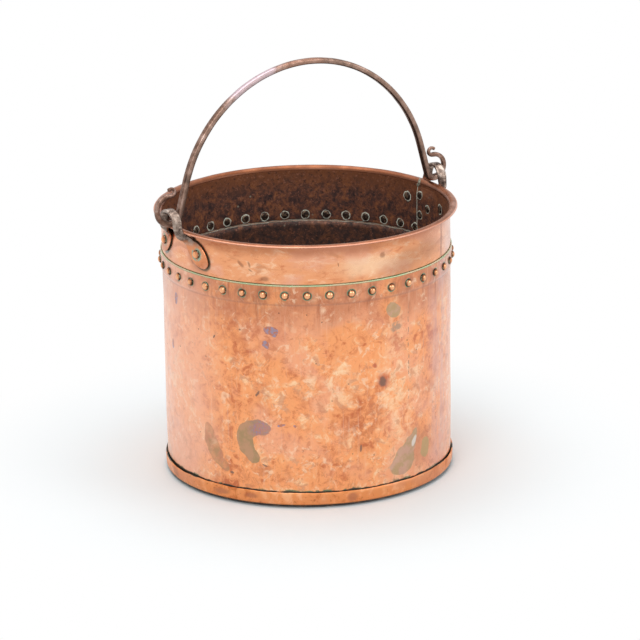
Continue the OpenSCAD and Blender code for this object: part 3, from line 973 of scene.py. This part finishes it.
# In the finishes a stain's numbers are its angle round the bucket in degrees, its height, its
# half width and half height, and its lean; a cloud's are its size, detail, roughness and warp.
def lay_wear(where, colour, cloud, blow):
    """Handling and polish: brown streaks under the band, bright blows, veins, brown drifts and a pale
    painted highlight.
    """
    tall = stretch(where, 0.16)
    drips = level(grain(tall, 7, 4.0, 0.6), 0.5, 0.72)
    z = height_mm(where)
    # Brown handling streaks that hang under the band
    high = level(z, 200, 246)
    streaks = drips * high * 0.7
    tanned = high * level(grain(where, 30), 0.35, 0.6, 0.3, 0.85)
    colour = lay(colour, "#C87E57", tanned)
    colour = lay(colour, "#A9623F", streaks)
    brown = level(grain(where, 34, 5.0, 0.65, 0.5), 0.54, 0.7)
    colour = lay(colour, "#C06A42", brown * 0.5)
    # Hammer blows: bright middles and thin dull rims
    struck = level(grain(where, 26), 0.44, 0.6)
    bright = level(grain(where, 10, 5.0, 0.62, 0.9), 0.53, 0.63) * struck
    colour = lay(colour, "#FFDDBA", bright * 0.55)
    vein = ring_mask(grain(where, 17, 4.0, 0.6, 1.3), 0.488, 0.512, 0.008)
    vein = vein * level(grain(where, 24), 0.42, 0.58)
    colour = lay(colour, "#BE6C44", vein * 0.4)
    # Where it was handled most: one red-brown drift; the pale patches after it are a painted highlight
    drift = wander(where, 18, 14)
    ruddy = stain(drift, -98, 104, 22, 36, soft=0.6) * level(grain(where, 9, 4.0, 0.6, 0.6), 0.4, 0.58)
    colour = lay(colour, "#BC6238", ruddy * 0.6)
    russet = stain(drift, -146, 214, 44, 26, soft=0.7)
    russet = russet * level(grain(where, 12, 4.0, 0.6, 0.6), 0.42, 0.6)
    colour = lay(colour, "#C06A44", russet * 0.5)
    # Painted highlight: pale patches standing for the light down the middle of the side
    rubbed = stain(drift, -112, 146, 26, 22, soft=0.7) | stain(drift, -84, 130, 20, 70, soft=0.7)
    rubbed = rubbed * level(cloud, 0.42, 0.58)
    colour = lay(colour, "#FFDAB0", rubbed * 0.5)
    thin = stretch(where, 0.04)
    scour = level(grain(thin, 2.6, 3.0, 0.6), 0.56, 0.72, 0.0, 0.16)
    colour = lay(colour, "#FFE2C6", scour)
    crust = level(blow, 0.5, 0.68) * level(cloud, 0.5, 0.6)
    colour = lay(colour, "#C4714A", crust * 0.55)
    fleck = level(grain(where, 3.2, 3.0, 0.6), 0.62, 0.74)
    colour = lay(colour, "#B8683F", fleck * 0.4)
    return colour


def lay_stains(where, colour):
    """Painted reflections at the sides, acid spots and pits. Also returns how far each place is eaten.
    """
    tall = stretch(where, 0.16)
    # Painted reflections: pale pink at the side towards the left ear, mauve low on the right
    painted_reflection_left = stain(wander(where, 30, 8), 178, 135, 62, 190, soft=0.5)
    colour = lay(colour, "#F5BFA6", painted_reflection_left * 0.5)
    painted_reflection_right = stain(wander(where, 20, 9), -56, 140, 22, 200, soft=0.8)
    painted_reflection_right = painted_reflection_right * level(grain(tall, 12, 4.0), 0.35, 0.6)
    colour = lay(colour, "#CFA4A2", painted_reflection_right * 0.5)
    # Acid spots
    rough_edge = wander(where, 9, 2.2)
    olive = run_of_acid(rough_edge, [(-141.2, 96, 18, 11, 0), (-147.0, 86, 12, 13, 10),
                                     (-146.2, 71, 11, 13, 25), (-143.0, 59, 8.5, 9, 36)])
    greened = level(grain(where, 12, 4.0), 0.4, 0.6)
    colour = lay(colour, lay("#C0906A", "#AE8C60", greened), olive)
    shimmer = ramp(grain(where, 3.4, 4.0, 0.7), [(0.38, "#8E8AA0"), (0.45, "#B87480"),
                                                 (0.52, "#C08660"), (0.6, "#9A8C96")])
    violet = olive * stain(wander(where, 8, 6), -138.5, 96, 18, 12, 12, soft=0.4)
    colour = lay(colour, shimmer, violet * 0.85)
    left_streak = run_of_acid(rough_edge, [(-164.4, 83, 7, 10, 10), (-163.2, 70, 12, 13, 8),
                                           (-160.4, 55, 11, 14, 25), (-156.2, 43, 7, 8, 45)], 0.08)
    faded = level(grain(where, 14, 4.0), 0.38, 0.6, 0.5, 0.9)
    colour = lay(colour, lay("#BE8262", "#B18860", greened), left_streak * faded)
    scorch = stain(wander(where, 16, 8), -72, 54, 24, 22, soft=0.6)
    colour = lay(colour, "#C27A54", scorch * 0.6)
    moss = run_of_acid(rough_edge, [(-67.4, 55, 8, 8, -10), (-67.8, 45, 9, 9, 10)])
    colour = lay(colour, "#B49C68", moss * 0.75)
    grey_pink = run_of_acid(rough_edge, [(-86.2, 231, 8, 9, 0), (-84, 227, 9, 9, 0)])
    grey_pink = grey_pink | run_of_acid(rough_edge, [
        (-81.6, 37, 20, 13, 0), (-79.6, 50, 16, 12, -20),
        (-76.4, 62, 10, 10, -25), (-74.2, 72, 4.5, 8, -25)])
    mixed = lay("#C29A84", "#B0966C", greened)
    colour = lay(colour, mixed, grey_pink * 0.85)
    ghost = stain(rough_edge, -83.5, 207, 8, 7, -25, soft=0.3)
    ghost = ghost * level(grain(where, 6), 0.42, 0.56)
    colour = lay(colour, "#A88C76", ghost * 0.8)
    torn = wander(where, 5, 2.0)
    small = any_of([run_of_acid(torn, [(-136.2, 214.5, 6, 5.5, 0), (-133.8, 213, 5.5, 6.5, 0)]),
                    run_of_acid(torn, [(-137.6, 198.5, 4.2, 4, 0), (-136.9, 195.5, 3.2, 4.5, 0)]),
                    stain(rough_edge, 175.8, 228, 4, 7), stain(rough_edge, 171, 169, 3, 6),
                    stain(torn, -131.8, 100.5, 4.5, 1.8, 10), stain(torn, -126.2, 100, 2.2, 1.8)])
    spotted = lay("#8E8AA2", "#B4705C", level(grain(where, 4.0, 4.0), 0.44, 0.56))
    colour = lay(colour, spotted, small * 0.85)
    halo = stain(torn, -90.0, 146, 8, 9, 20, soft=0.5) | stain(torn, -93.8, 166, 3, 3, soft=0.4)
    colour = lay(colour, "#B8553A", halo * 0.75)
    dark_spots = any_of([stain(torn, -90.4, 145.5, 4.5, 6, soft=0.3),
                         stain(torn, -160, 198.5, 1.0, 3, -30), stain(torn, -148, 212, 1.1, 1.1),
                         stain(torn, -141, 137, 1.4, 4, -35), stain(torn, -100.2, 69, 1.2, 4.5),
                         stain(rough_edge, -138.6, 50.5, 3, 1.2, -20),
                         stain(rough_edge, -152.8, 37, 2.5, 1.4, -20)])
    colour = lay(colour, "#715C50", dark_spots * 0.8)
    dashes = level(grain(where, 5, 2.0), 0.5, 0.56)
    dashes = dashes * stain(wander(where, 20, 2), -77.4, 168, 0.7, 62, soft=0.3)
    colour = lay(colour, "#7A6A5A", dashes * 0.7)
    pale_scar = stain(rough_edge, -74.6, 63, 2.6, 6.5, -25, soft=0.25)
    colour = lay(colour, "#D9CCC0", pale_scar)
    # Pin-prick pits
    pricks = pits(where, 15, 0.075, 0.045)
    rare = level(grain(where, 40, 2.0), 0.5, 0.56)
    colour = lay(colour, "#5B4436", pricks * rare * 0.75)
    return colour, olive | grey_pink * 0.6


def lay_joint_dirt(where, colour):
    """Dirt and verdigris round the band rivets, along the band's top edge and above the pan."""
    z = height_mm(where)
    away = around_rivets(wander(where, 4, 0.5), BAND_R)
    smoky = level(away, 6, 12, 1.0, 0.0) * level(grain(where, 9), 0.4, 0.6)
    colour = lay(colour, "#8E5A44", smoky * 0.4)
    green = ring_mask(away, 4.0, 5.7, 0.35)
    green = green * level(grain(where, 6, 2.0), 0.4, 0.52)
    colour = lay(colour, "#7E9A78", green)
    dark_ring = ring_mask(away, 4.2, 5.2, 0.3)
    colour = lay(colour, "#4A4034", dark_ring * 0.6)
    wavy = z + (grain(where, 14) - 0.5) * 5.0
    edge_line = level(z, BAND_TOP - 2.0, BAND_TOP - 1.6)
    colour = lay(colour, "#6A7A55", edge_line * 0.7)
    edge_green = level(z, BAND_TOP - 1.5, BAND_TOP - 1.1)
    greens = level(grain(where, 20), 0.38, 0.6)
    colour = lay(colour, lay("#D6C3A0", "#B4C79C", greens), edge_green)
    seam_dirt = level(wavy, PAN_TOP + 1.4, PAN_TOP + 0.3)
    colour = lay(colour, "#2F3326", seam_dirt)
    seam_green = ring_mask(wavy, PAN_TOP + 0.7, PAN_TOP + 2.0, 0.5)
    patchy = level(grain(where, 18), 0.52, 0.6)
    colour = lay(colour, "#5F7A58", seam_green * patchy)
    joggle = ring_mask(z, JOGGLE_Z - 1.2, JOGGLE_Z + 1.2, 0.8)
    colour = lay(colour, "#A5705A", joggle * 0.35)
    return colour, seam_dirt | edge_green


def hammered_copper(where):
    """Wall outside: hammered copper sheet, rubbed bright, so it glows orange with pink drifts and
    painted reflections at its sides and a painted highlight; old acid spots stay olive and purple, and
    oxide sits under the band and along the joints."""
    colour, cloud = copper_ground(where, "#CF7344", "#F9A56A", "#FFD1A2", "#F1AC8C")
    blow = add(where.tree, "ShaderNodeTexVoronoi", {"Vector": wander(where, 7, 4.5), "Scale": 1000 / 12,
                                                    "Smoothness": 0.3}, feature="SMOOTH_F1")
    colour = lay_wear(where, colour, cloud, blow)
    colour, eaten = lay_stains(where, colour)
    colour, dirty = lay_joint_dirt(where, colour)
    dirt = eaten | dirty
    rough = level(grain(where, 12, 4.0), 0.3, 0.7, 0.3, 0.46)
    rough = rough + dirt * 0.2
    metal = level(dirt, 0.0, 1.0, 1.0, 0.55)
    relief = blow * 0.7 + cloud * 0.6
    close_finish(colour, rough, metal, relief, 0.22, 0.5, wax=0.7)


def planished_copper(where):
    """Collar and lip outside: smoother planished copper, polished, with long soft painted reflections
    and a painted pale highlight, painted shade under the lip, and small brown water stains."""
    long_way = stretch(where, 2.2)
    colour, cloud = copper_ground(long_way, "#D6855A", "#F0A676", "#FBC69E", "#EAAA90")
    z = height_mm(where)
    # Painted shade: brown darkening under the lip, with a wavy lower edge
    wavy = z + (grain(where, 30) - 0.5) * 14.0
    under = level(wavy, 298, 311)
    colour = lay(colour, "#9A5432", under * 0.6)
    shade = level(grain(long_way, 38, 4.0, 0.6, 0.8), 0.55, 0.68)
    colour = lay(colour, "#B77551", shade * 0.45)
    # Painted reflection: darker smoky patches on the right of the collar
    painted_dark_reflection = stain(wander(where, 26, 9), -78, 283, 34, 15, 14, soft=0.6)
    painted_dark_reflection = painted_dark_reflection | stain(wander(where, 26, 9), -66, 290, 26, 14, soft=0.6)
    colour = lay(colour, "#B27B5A", painted_dark_reflection * 0.6)
    # Painted highlight: a pale patch across the collar
    painted_pale_highlight = stain(wander(where, 26, 9), -96, 287, 32, 10, soft=0.7)
    colour = lay(colour, "#FFDCB6", painted_pale_highlight * 0.6)
    # Painted reflection: a pale lilac zone on the right of the collar
    painted_lilac_reflection = stain(wander(where, 20, 4), -40, 290, 34, 60, soft=0.45)
    colour = lay(colour, "#E6BFB2", painted_lilac_reflection * 0.5)
    # Painted shade: a thin dark upright streak beside the lilac reflection
    painted_shade_streak = stain(wander(where, 20, 3), -53.5, 292, 2.6, 28, soft=0.6)
    colour = lay(colour, "#9C6450", painted_shade_streak * 0.65)
    rough_edge = wander(where, 6, 1.4)
    spots = any_of([stain(rough_edge, -137.5, 275.5, 5.5, 2.6, 10, soft=0.5),
                    stain(rough_edge, -147, 291, 2, 5, 45, soft=0.5),
                    stain(rough_edge, -143.5, 291, 1.6, 3.5, 20, soft=0.5),
                    stain(rough_edge, -143, 284.5, 3, 1.0, -20, soft=0.5),
                    stain(rough_edge, -90, 297, 3.5, 3.2, soft=0.4),
                    stain(rough_edge, -108.5, 292, 0.7, 2.6, 12)])
    colour = lay(colour, "#8B5A40", spots * 0.6)
    sides = [(middle, turn) for middle in (0, 180) for turn in (-1, 1)]
    # Painted shade: brown darkening of the collar round each raised ear pad
    pads = any_of([stain(rough_edge, middle + turn * 12.6, PAD_Z - 3, 17, 19, turn * 40, soft=0.35)
                   for middle, turn in sides])
    colour = lay(colour, "#8C5642", pads * 0.55)
    # Dark green outline round each pad: partly verdigris in the joint, partly painted shadow under the
    # pad's edge
    close_edge = wander(where, 5, 0.7)
    pad_outline_verdigris_and_shadow = any_of([stain(close_edge, middle + turn * 12.5, PAD_Z - 1, 13.7, 22.2, turn * 50,
                             soft=0.08) for middle, turn in sides])
    colour = lay(colour, "#3E4A38", pad_outline_verdigris_and_shadow * 0.85)
    # The crease over the band's edge, dark with a pale green line beside it
    crease = level(z, BAND_TOP + 0.9, BAND_TOP + 0.4)
    colour = lay(colour, "#55623F", crease)
    # The lip: browner on its crest, with a painted pinkish highlight on its outer edge
    radius = radius_mm(where)
    crest = level(z, LIP_Z - 5, LIP_Z - 3) * level(radius, LIP_OUT_R - 2.2, LIP_OUT_R - 1.0, 1.0, 0.0)
    brown = level(grain(where, 26, 4.0), 0.35, 0.6, 0.7, 1.0)
    crest = crest * brown
    colour = lay(colour, "#80492A", crest)
    # Painted highlight along the lip's outer edge
    rim = level(radius, LIP_OUT_R - 1.6, LIP_OUT_R - 0.7)
    colour = lay(colour, "#D9A48E", rim * 0.6)
    inner = level(radius, COLLAR_IN_R + 1.2, COLLAR_IN_R + 0.2)
    colour = lay(colour, "#6B3E27", inner * 0.85)
    # Painted shade: dark brown tucked under the lip's roll
    painted_shade_under_roll = level(z, 306, 311) * level(radius, BODY_R + 0.9, BODY_R + 2.0)
    painted_shade_under_roll = painted_shade_under_roll * level(z, 316, 314.2)
    colour = lay(colour, "#6E3B22", painted_shade_under_roll * 0.8)
    rough = level(grain(where, 15, 4.0), 0.3, 0.7, 0.24, 0.38)
    on_lip = level(z, LIP_Z - 6, LIP_Z - 3)
    rough = rough + (crease | on_lip) * 0.2
    metal = level(crease | pad_outline_verdigris_and_shadow * 0.8, 0.0, 1.0, 1.0, 0.5)
    close_finish(colour, rough, metal, cloud, 0.08, 0.4, wax=0.35)


def oxidised_inside(where):
    """Inside: copper never polished, so brown-purple oxide with soot, pale specks and
    verdigris outlines round each hammered tail and along the collar's lower edge."""
    z = height_mm(where)
    cloud = grain(where, 11, 6.0, 0.78, 0.3)
    colour = ramp(cloud, [(0.36, "#3A2A2A"), (0.46, "#5C3F38"), (0.54, "#845440"), (0.64, "#B0724C")])
    near_lip = level(z + cloud * 22, 290, 326)
    colour = lay(colour, "#8A5230", near_lip * 0.85)
    low = level(z, 230, 150, 0.0, 0.3) + level(z, COLLAR_Z + 1, COLLAR_Z - 1, 0.0, 0.45)
    colour = lay(colour, "#3C3633", low)
    speck = level(grain(where, 3.4, 4.0, 0.75), 0.54, 0.66)
    colour = lay(colour, "#AE745C", speck * 0.75)
    soot = level(grain(where, 4.6, 4.0, 0.75), 0.55, 0.66)
    colour = lay(colour, "#261C1E", soot * 0.8)
    ash = pits(where, 16, 0.1, 0.05) * level(grain(where, 30, 2.0), 0.48, 0.55)
    colour = lay(colour, "#B4AC98", ash * 0.8)
    haze = level(grain(where, 2.4, 4.0, 0.75), 0.6, 0.7)
    haze = haze * level(grain(where, 40), 0.46, 0.58)
    colour = lay(colour, "#8E8880", haze * 0.4)
    crooked = wander(where, 5, 2.0)
    away = around_rivets(crooked, COLLAR_IN_R)
    x, y, _ = axes(where)
    tails = [ring_mask(away, 4.5, 5.6, 0.3)]
    for angle, height in SEAM_RIVETS:
        tails.append(round_spot(crooked, angle, height, COLLAR_IN_R, 4.5, 5.6, 0.35))
    for angle in PAD_ANGLES:
        tails.append(round_spot(crooked, angle, PAD_Z, COLLAR_IN_R, 5.1, 6.3, 0.35))
    patina = level(grain(where, 7), 0.36, 0.56, 0.35, 1.0)
    colour = lay(colour, "#EEF4E2", any_of(tails) * patina)
    fine = z + (grain(where, 8, 2.0) - 0.5) * 1.6
    line = ring_mask(fine, COLLAR_Z - 1.5, COLLAR_Z + 0.7, 0.35)
    colour = lay(colour, "#EEF4E2", line)
    end = math.radians(LAP_TO)
    across = y * (1000 * math.cos(end)) - x * (1000 * math.sin(end))
    seam = ring_mask(across, -0.9, 0.5, 0.35)
    seam = seam * level(x, 0.0, 0.05)
    seam = seam * level(z, COLLAR_Z - 1, COLLAR_Z + 1)
    colour = lay(colour, "#EEF4E2", seam)
    rough = level(cloud, 0.3, 0.7, 0.62, 0.44)
    chalky = any_of(tails + [line, seam])
    metal = level(chalky, 0.0, 1.0, 0.45, 0.0)
    close_finish(colour, rough, metal, cloud, 0.3, 0.5)


def pan_copper(where):
    """Base pan: thicker-looking copper with a satin polish on its edge, painted near-black shade and a
    matt finish underneath, and black dirt on the ragged rim."""
    colour, cloud = copper_ground(where, "#C9713F", "#EB9A62", "#F8B584", "#DD9874")
    z = height_mm(where)
    fleck = level(grain(where, 5, 3.0, 0.6), 0.6, 0.7)
    colour = lay(colour, "#A55B3A", fleck * 0.5)
    rough_edge = wander(where, 6, 1.2)
    bruise = any_of([stain(rough_edge, -158, 11.5, 11, 3.4, 4, soft=0.5),
                     stain(rough_edge, -144.5, 12.5, 8, 3, soft=0.5),
                     stain(rough_edge, 172, 12, 9, 6, soft=0.5),
                     stain(rough_edge, -104, 11, 6, 5, soft=0.4)])
    colour = lay(colour, "#A56B58", bruise * 0.55)
    top = level(z + grain(where, 9) * 1.2, PAN_TOP - 0.2, PAN_TOP + 0.15)
    colour = lay(colour, "#34352A", top)
    # Painted shadow: the bottom bend is darkened to near black, standing for the shade under the pan
    below = level(z, PAN_Z + 2.3, PAN_Z + 0.6)
    colour = lay(colour, "#33241D", below * 0.95)
    rough = level(grain(where, 14, 4.0), 0.3, 0.7, 0.3, 0.46)
    rough = rough + below * 0.2
    metal = level(top | below, 0.0, 1.0, 1.0, 0.3)
    close_finish(colour, rough, metal, cloud, 0.15, 0.4)


def hidden_copper(where):
    """Faces shut between the pan and the wall: black with trapped dirt and verdigris."""
    cloud = grain(where, 6, 4.0)
    colour = ramp(cloud, [(0.35, "#25221C"), (0.55, "#3A3A2C"), (0.7, "#56654A")])
    close_finish(colour, 0.7, 0.3, cloud, 0.3, 0.4)


def rivet_copper(where, crown_colour, foot_colour, green_amount):
    """Hammered rivets: crowns worn bright and smooth, lightened further as a painted highlight; brown
    oxide and painted shade down the sides and a green bloom on some feet; the tails inside are nearly
    black."""
    crown = add(where.tree, "ShaderNodeAttribute", out="Fac", attribute_name="crown")
    tone = add(where.tree, "ShaderNodeAttribute", out="Fac", attribute_name="tone")
    patch = grain(where, 3.5)
    worn = crown + (patch - 0.5) * 0.7
    worn = worn + (tone - 0.5) * 0.25
    # By height on the head: a bright crown, partly wear and partly a painted highlight, and sides
    # darkening to the rim, partly oxide and partly painted shade
    colour = ramp(worn, [(0.0, "#3A2E26"), (0.2, "#6B4632"), (0.45, foot_colour), (0.8, crown_colour)])
    bloom = level(crown, 0.5, 0.05) * level(patch, 0.48, 0.58)
    colour = lay(colour, "#86A088", bloom * green_amount)
    inside = level(crown, -0.05, -0.2)
    colour = lay(colour, lay("#33251F", "#7A6450", level(patch, 0.5, 0.6)), inside)
    rough = level(worn, 0.2, 0.9, 0.46, 0.1)
    metal = level(bloom | inside, 0.0, 1.0, 1.0, 0.55)
    close_finish(colour, rough, metal, patch, 0.2, 0.3)


def ear_bronze(where):
    """Ears: forged strip with a brown patina on the arch; the pads are rubbed back to copper
    with the collar, and verdigris creeps round their edges and rivets."""
    z = height_mm(where)
    cloud = grain(where, 9, 5.0, 0.65, 0.4)
    patina = ramp(cloud, [(0.34, "#40352F"), (0.46, "#74645B"), (0.57, "#978579"), (0.7, "#C8BAB0")])
    rubbed, _ = copper_ground(where, "#B9693F", "#DC9064", "#F2B48C", "#D79A80")
    low = level(z + cloud * 14, 316, 305)
    colour = lay(patina, rubbed, low)
    radius = radius_mm(where)
    foot = level(radius, BODY_R + 2.0, BODY_R + 0.9) * level(z, 306, 300)
    colour = lay(colour, "#47543F", foot * 0.9)
    near = wander(where, 4, 0.9)
    halo = any_of([round_spot(near, angle, PAD_Z, BODY_R + PAD_T, 4.5, 8.2, 0.6)
                   for angle in PAD_ANGLES])
    patchy = level(grain(where, 6), 0.38, 0.55)
    colour = lay(colour, "#A4AD94", halo * patchy)
    scratch = level(grain(where, 2.2, 2.0), 0.62, 0.72)
    colour = lay(colour, "#E0C4B0", scratch * 0.35)
    rough = level(cloud, 0.3, 0.7, 0.46, 0.3)
    metal = level(foot | halo * patchy, 0.0, 1.0, 0.95, 0.45)
    close_finish(colour, rough, metal, cloud, 0.25, 0.4)


def bail_bronze(where):
    """Bail: forged bar, brown as old bronze, with paler edges that are partly worn and partly a painted
    highlight, a chalky rubbed stretch on one side and warm bare metal where a hand holds it."""
    cloud = grain(where, 12, 5.0, 0.65, 0.4)
    colour = ramp(cloud, [(0.3, "#46342E"), (0.45, "#775A4C"), (0.57, "#957668"), (0.72, "#BBA196")])
    x, y, z = [way * 1000 for way in axes(where)]
    uneven = x + (grain(where, 14) - 0.5) * 36
    high = level(z, 415, 440)
    chalk = ring_mask(uneven, -100, -36, 7) * high
    colour = lay(colour, "#CDB9C2", chalk * 0.75)
    grip = ring_mask(uneven, -30, 26, 12) * high
    colour = lay(colour, "#9C6A54", grip * 0.45)
    fleck = level(grain(where, 2.6, 3.0, 0.7), 0.58, 0.7)
    colour = lay(colour, "#5B4334", fleck * 0.45)
    # Paler edges along the bar: partly wear, partly a painted highlight
    edge = level(abs(y), 3.1, 3.9)
    colour = lay(colour, "#C4AA9A", edge * 0.2)
    rough = level(cloud, 0.3, 0.7, 0.48, 0.32)
    close_finish(colour, rough, 0.9, cloud, 0.3, 0.4)


def grey_solder(where):
    """Smeared solder: dull pale grey with a greenish cast."""
    cloud = grain(where, 3, 4.0)
    colour = ramp(cloud, [(0.35, "#6F6A5C"), (0.55, "#9C9A8A"), (0.7, "#C2C2B2")])
    close_finish(colour, 0.5, 0.7, cloud, 0.3, 0.4)


# ---------------------------------------------------------------------------
# Putting the bucket together
# ---------------------------------------------------------------------------
FINISH = {
    "wall": new_finish("hammered_copper_sheet", hammered_copper),
    "collar": new_finish("planished_copper_collar", planished_copper),
    "inside": new_finish("oxidised_copper_inside", oxidised_inside),
    "pan": new_finish("dished_copper_pan", pan_copper),
    "hidden": new_finish("dirt_black_copper", hidden_copper),
    "rivets": new_finish("worn_copper_rivets", rivet_copper, "#F0B083", "#945836", 0.8),
    "ear rivets": new_finish("ear_copper_rivets", rivet_copper, "#EFA878", "#A9694A", 0.95),
    "foot rivets": new_finish("foot_copper_rivets", rivet_copper, "#D8B79E", "#B48A6C", 0.3),
    "ears": new_finish("forged_ear_strap", ear_bronze),
    "bail": new_finish("forged_bail_bar", bail_bronze),
    "solder": new_finish("smeared_solder", grey_solder),
}


def finish_piece(piece, finishes, body, nodes):
    """Gives a piece its materials and its body, and hides the CAD nodes it stands for."""
    if finishes:
        for name in finishes:
            piece.data.materials.append(FINISH[name])
    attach(piece, body)
    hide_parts(*nodes)


finish_piece(make_wall(), ["wall", "inside"], "bucket", ["wall"])
finish_piece(make_collar(), ["collar", "inside", "solder"], "bucket", ["collar"])
finish_piece(make_pan(), ["pan", "hidden", "inside"], "bucket", ["base_pan"])
finish_piece(make_ear("right_ear_strap", 0.0, 61), ["ears"], "bucket", ["right_ear"])
finish_piece(make_ear("left_ear_strap", math.pi, 62), ["ears"], "bucket", ["left_ear"])
finish_piece(make_bail(), ["bail"], "handle", ["bail"])

RADIAL_TREE = rivet_tree(False)
UPRIGHT_TREE = rivet_tree(True)


def rivet_group(name, places, sizes, tree, spread, lean, seed, finish, nodes):
    template = rivet_template(name + "_pattern", *sizes)
    piece = set_rivets(name, places, template, tree, spread, lean, seed, FINISH[finish])
    bpy.data.objects.remove(template)
    finish_piece(piece, None, "bucket", nodes)
    return piece


HEAD_SEAT = BAND_R + SEAT
SIDE_SEAT = BODY_R + SEAT
PAD_SEAT = BODY_R + SEAT + PAD_T + SEAT
rivet_group("band_rivet_set", ring_places(BAND_COUNT, BAND_PHASE, HEAD_SEAT, BAND_RIVET_Z),
            (HEAD_D, HEAD_H, HEAD_SEAT - COLLAR_IN_R + SEAT, 0, TAIL_D, False),
            RADIAL_TREE, 0.1, 0.05, 3, "rivets", ["band_rivets"])
rivet_group("base_rivet_set", ring_places(BASE_COUNT, 0, BASE_RIVET_R, PAN_Z - SEAT),
            (FOOT_D, PAN_Z - SEAT, FLANGE_Z + SHEET - PAN_Z + 2 * SEAT, FOOT_FLAT, TAIL_D, True),
            UPRIGHT_TREE, 0.05, 0.0, 5, "foot rivets", ["base_rivets"])
rivet_group("seam_rivet_set",
            [(SIDE_SEAT * math.cos(math.radians(a)), SIDE_SEAT * math.sin(math.radians(a)), z)
             for a, z in SEAM_RIVETS],
            (HEAD_D, HEAD_H, SIDE_SEAT - COLLAR_IN_R + SHEET + SEAT, 0, TAIL_D, False),
            RADIAL_TREE, 0.06, 0.03, 9, "rivets", ["seam_rivets"])
for side, middle in (("right", 0), ("left", 180)):
    rivet_group(side + "_ear_rivet_set",
                [(PAD_SEAT * math.cos(math.radians(middle + s * PAD_DEG)),
                  PAD_SEAT * math.sin(math.radians(middle + s * PAD_DEG)), PAD_Z) for s in (-1, 1)],
                (EAR_HEAD_D, EAR_HEAD_H, PAD_SEAT - COLLAR_IN_R + SEAT, 0, TAIL_D + 1, False),
                RADIAL_TREE, 0.04, 0.05, 11, "ear rivets", [side + "_ear_rivets"])


# ---------------------------------------------------------------------------
# Studio: pale floor, soft lamps, white surround, camera
# ---------------------------------------------------------------------------
def seen_plainly(tree):
    """1 where the stage is seen, mirrored or seen through something, 0 where it lights other things."""
    path = add(tree, "ShaderNodeLightPath").socket.node.outputs
    return any_of([Wire(tree, path["Is %s Ray" % kind])
                   for kind in ("Camera", "Glossy", "Transmission")])


def floor_paint(where):
    """Pale matt floor that keeps the bucket's shadow and turns white far away."""
    mask = level(where.length(), 0.21, 0.46) * seen_plainly(where.tree)
    matt = add(where.tree, "ShaderNodeBsdfDiffuse", {"Color": "#EBF3F6"})
    white = add(where.tree, "ShaderNodeEmission", {"Color": "#FFFFFF", "Strength": 1.0})
    both = add(where.tree, "ShaderNodeMixShader", {0: mask, 1: matt, 2: white})
    add(where.tree, "ShaderNodeOutputMaterial", {"Surface": both})


def make_floor():
    mesh = bpy.data.meshes.new("studio_floor")
    far = 12.0
    mesh.from_pydata([(-far, -far, 0), (far, -far, 0), (far, far, 0), (-far, far, 0)], [],
                     [(0, 1, 2, 3)])
    mesh.materials.append(new_finish("matt_pale_floor", floor_paint))
    put(mesh.name, mesh)


def make_lamp(name, place, size, power):
    """A square white lamp aimed at the middle of the bucket's side."""
    lamp = bpy.data.lights.new(name, "AREA")
    lamp.size = size
    lamp.energy = power
    stand = put(name, lamp)
    stand.location = place
    stand.rotation_euler = (Vector((0, 0, 0.2)) - Vector(place)).to_track_quat("-Z", "Y").to_euler()


def make_surround():
    """White wherever it is seen or mirrored; a gentler even light on everything else."""
    world = bpy.data.worlds.new("soft_white_surround")
    bpy.context.scene.world = world
    world.use_nodes = True
    tree = world.node_tree
    tree.nodes.clear()
    strength = level(seen_plainly(tree), 0.0, 1.0, 0.42, 1.0)
    sky = add(tree, "ShaderNodeBackground", {"Color": "#FFFFFF", "Strength": strength})
    add(tree, "ShaderNodeOutputWorld", {"Surface": sky})


def make_camera():
    """Seen from in front and a little to the left, from above the lip."""
    swing = math.radians(-31)
    tilt = math.radians(17.43)
    reach = 4.8037
    aim = Vector((0.0129, -0.0077, 0.1748))
    back = Vector((math.sin(swing) * math.cos(tilt), -math.cos(swing) * math.cos(tilt), math.sin(tilt)))
    lens = bpy.data.cameras.new("studio_camera")
    lens.sensor_width = 36
    lens.lens = 228.6
    camera = put("studio_camera", lens)
    camera.location = aim + back * reach
    look = (-back).to_track_quat("-Z", "Y")
    roll = Euler((0, 0, math.radians(-0.87))).to_quaternion()
    camera.rotation_euler = (look @ roll).to_euler()
    bpy.context.scene.camera = camera


make_floor()
make_lamp("key_softbox", (-1.5, -1.6, 1.9), 1.3, 19.5)
make_lamp("fill_softbox", (1.3, -1.7, 1.1), 1.2, 10.5)
make_lamp("top_softbox", (0.0, 0.3, 2.3), 2.2, 34)
make_surround()
make_camera()
bpy.context.scene.view_settings.view_transform = "Standard"
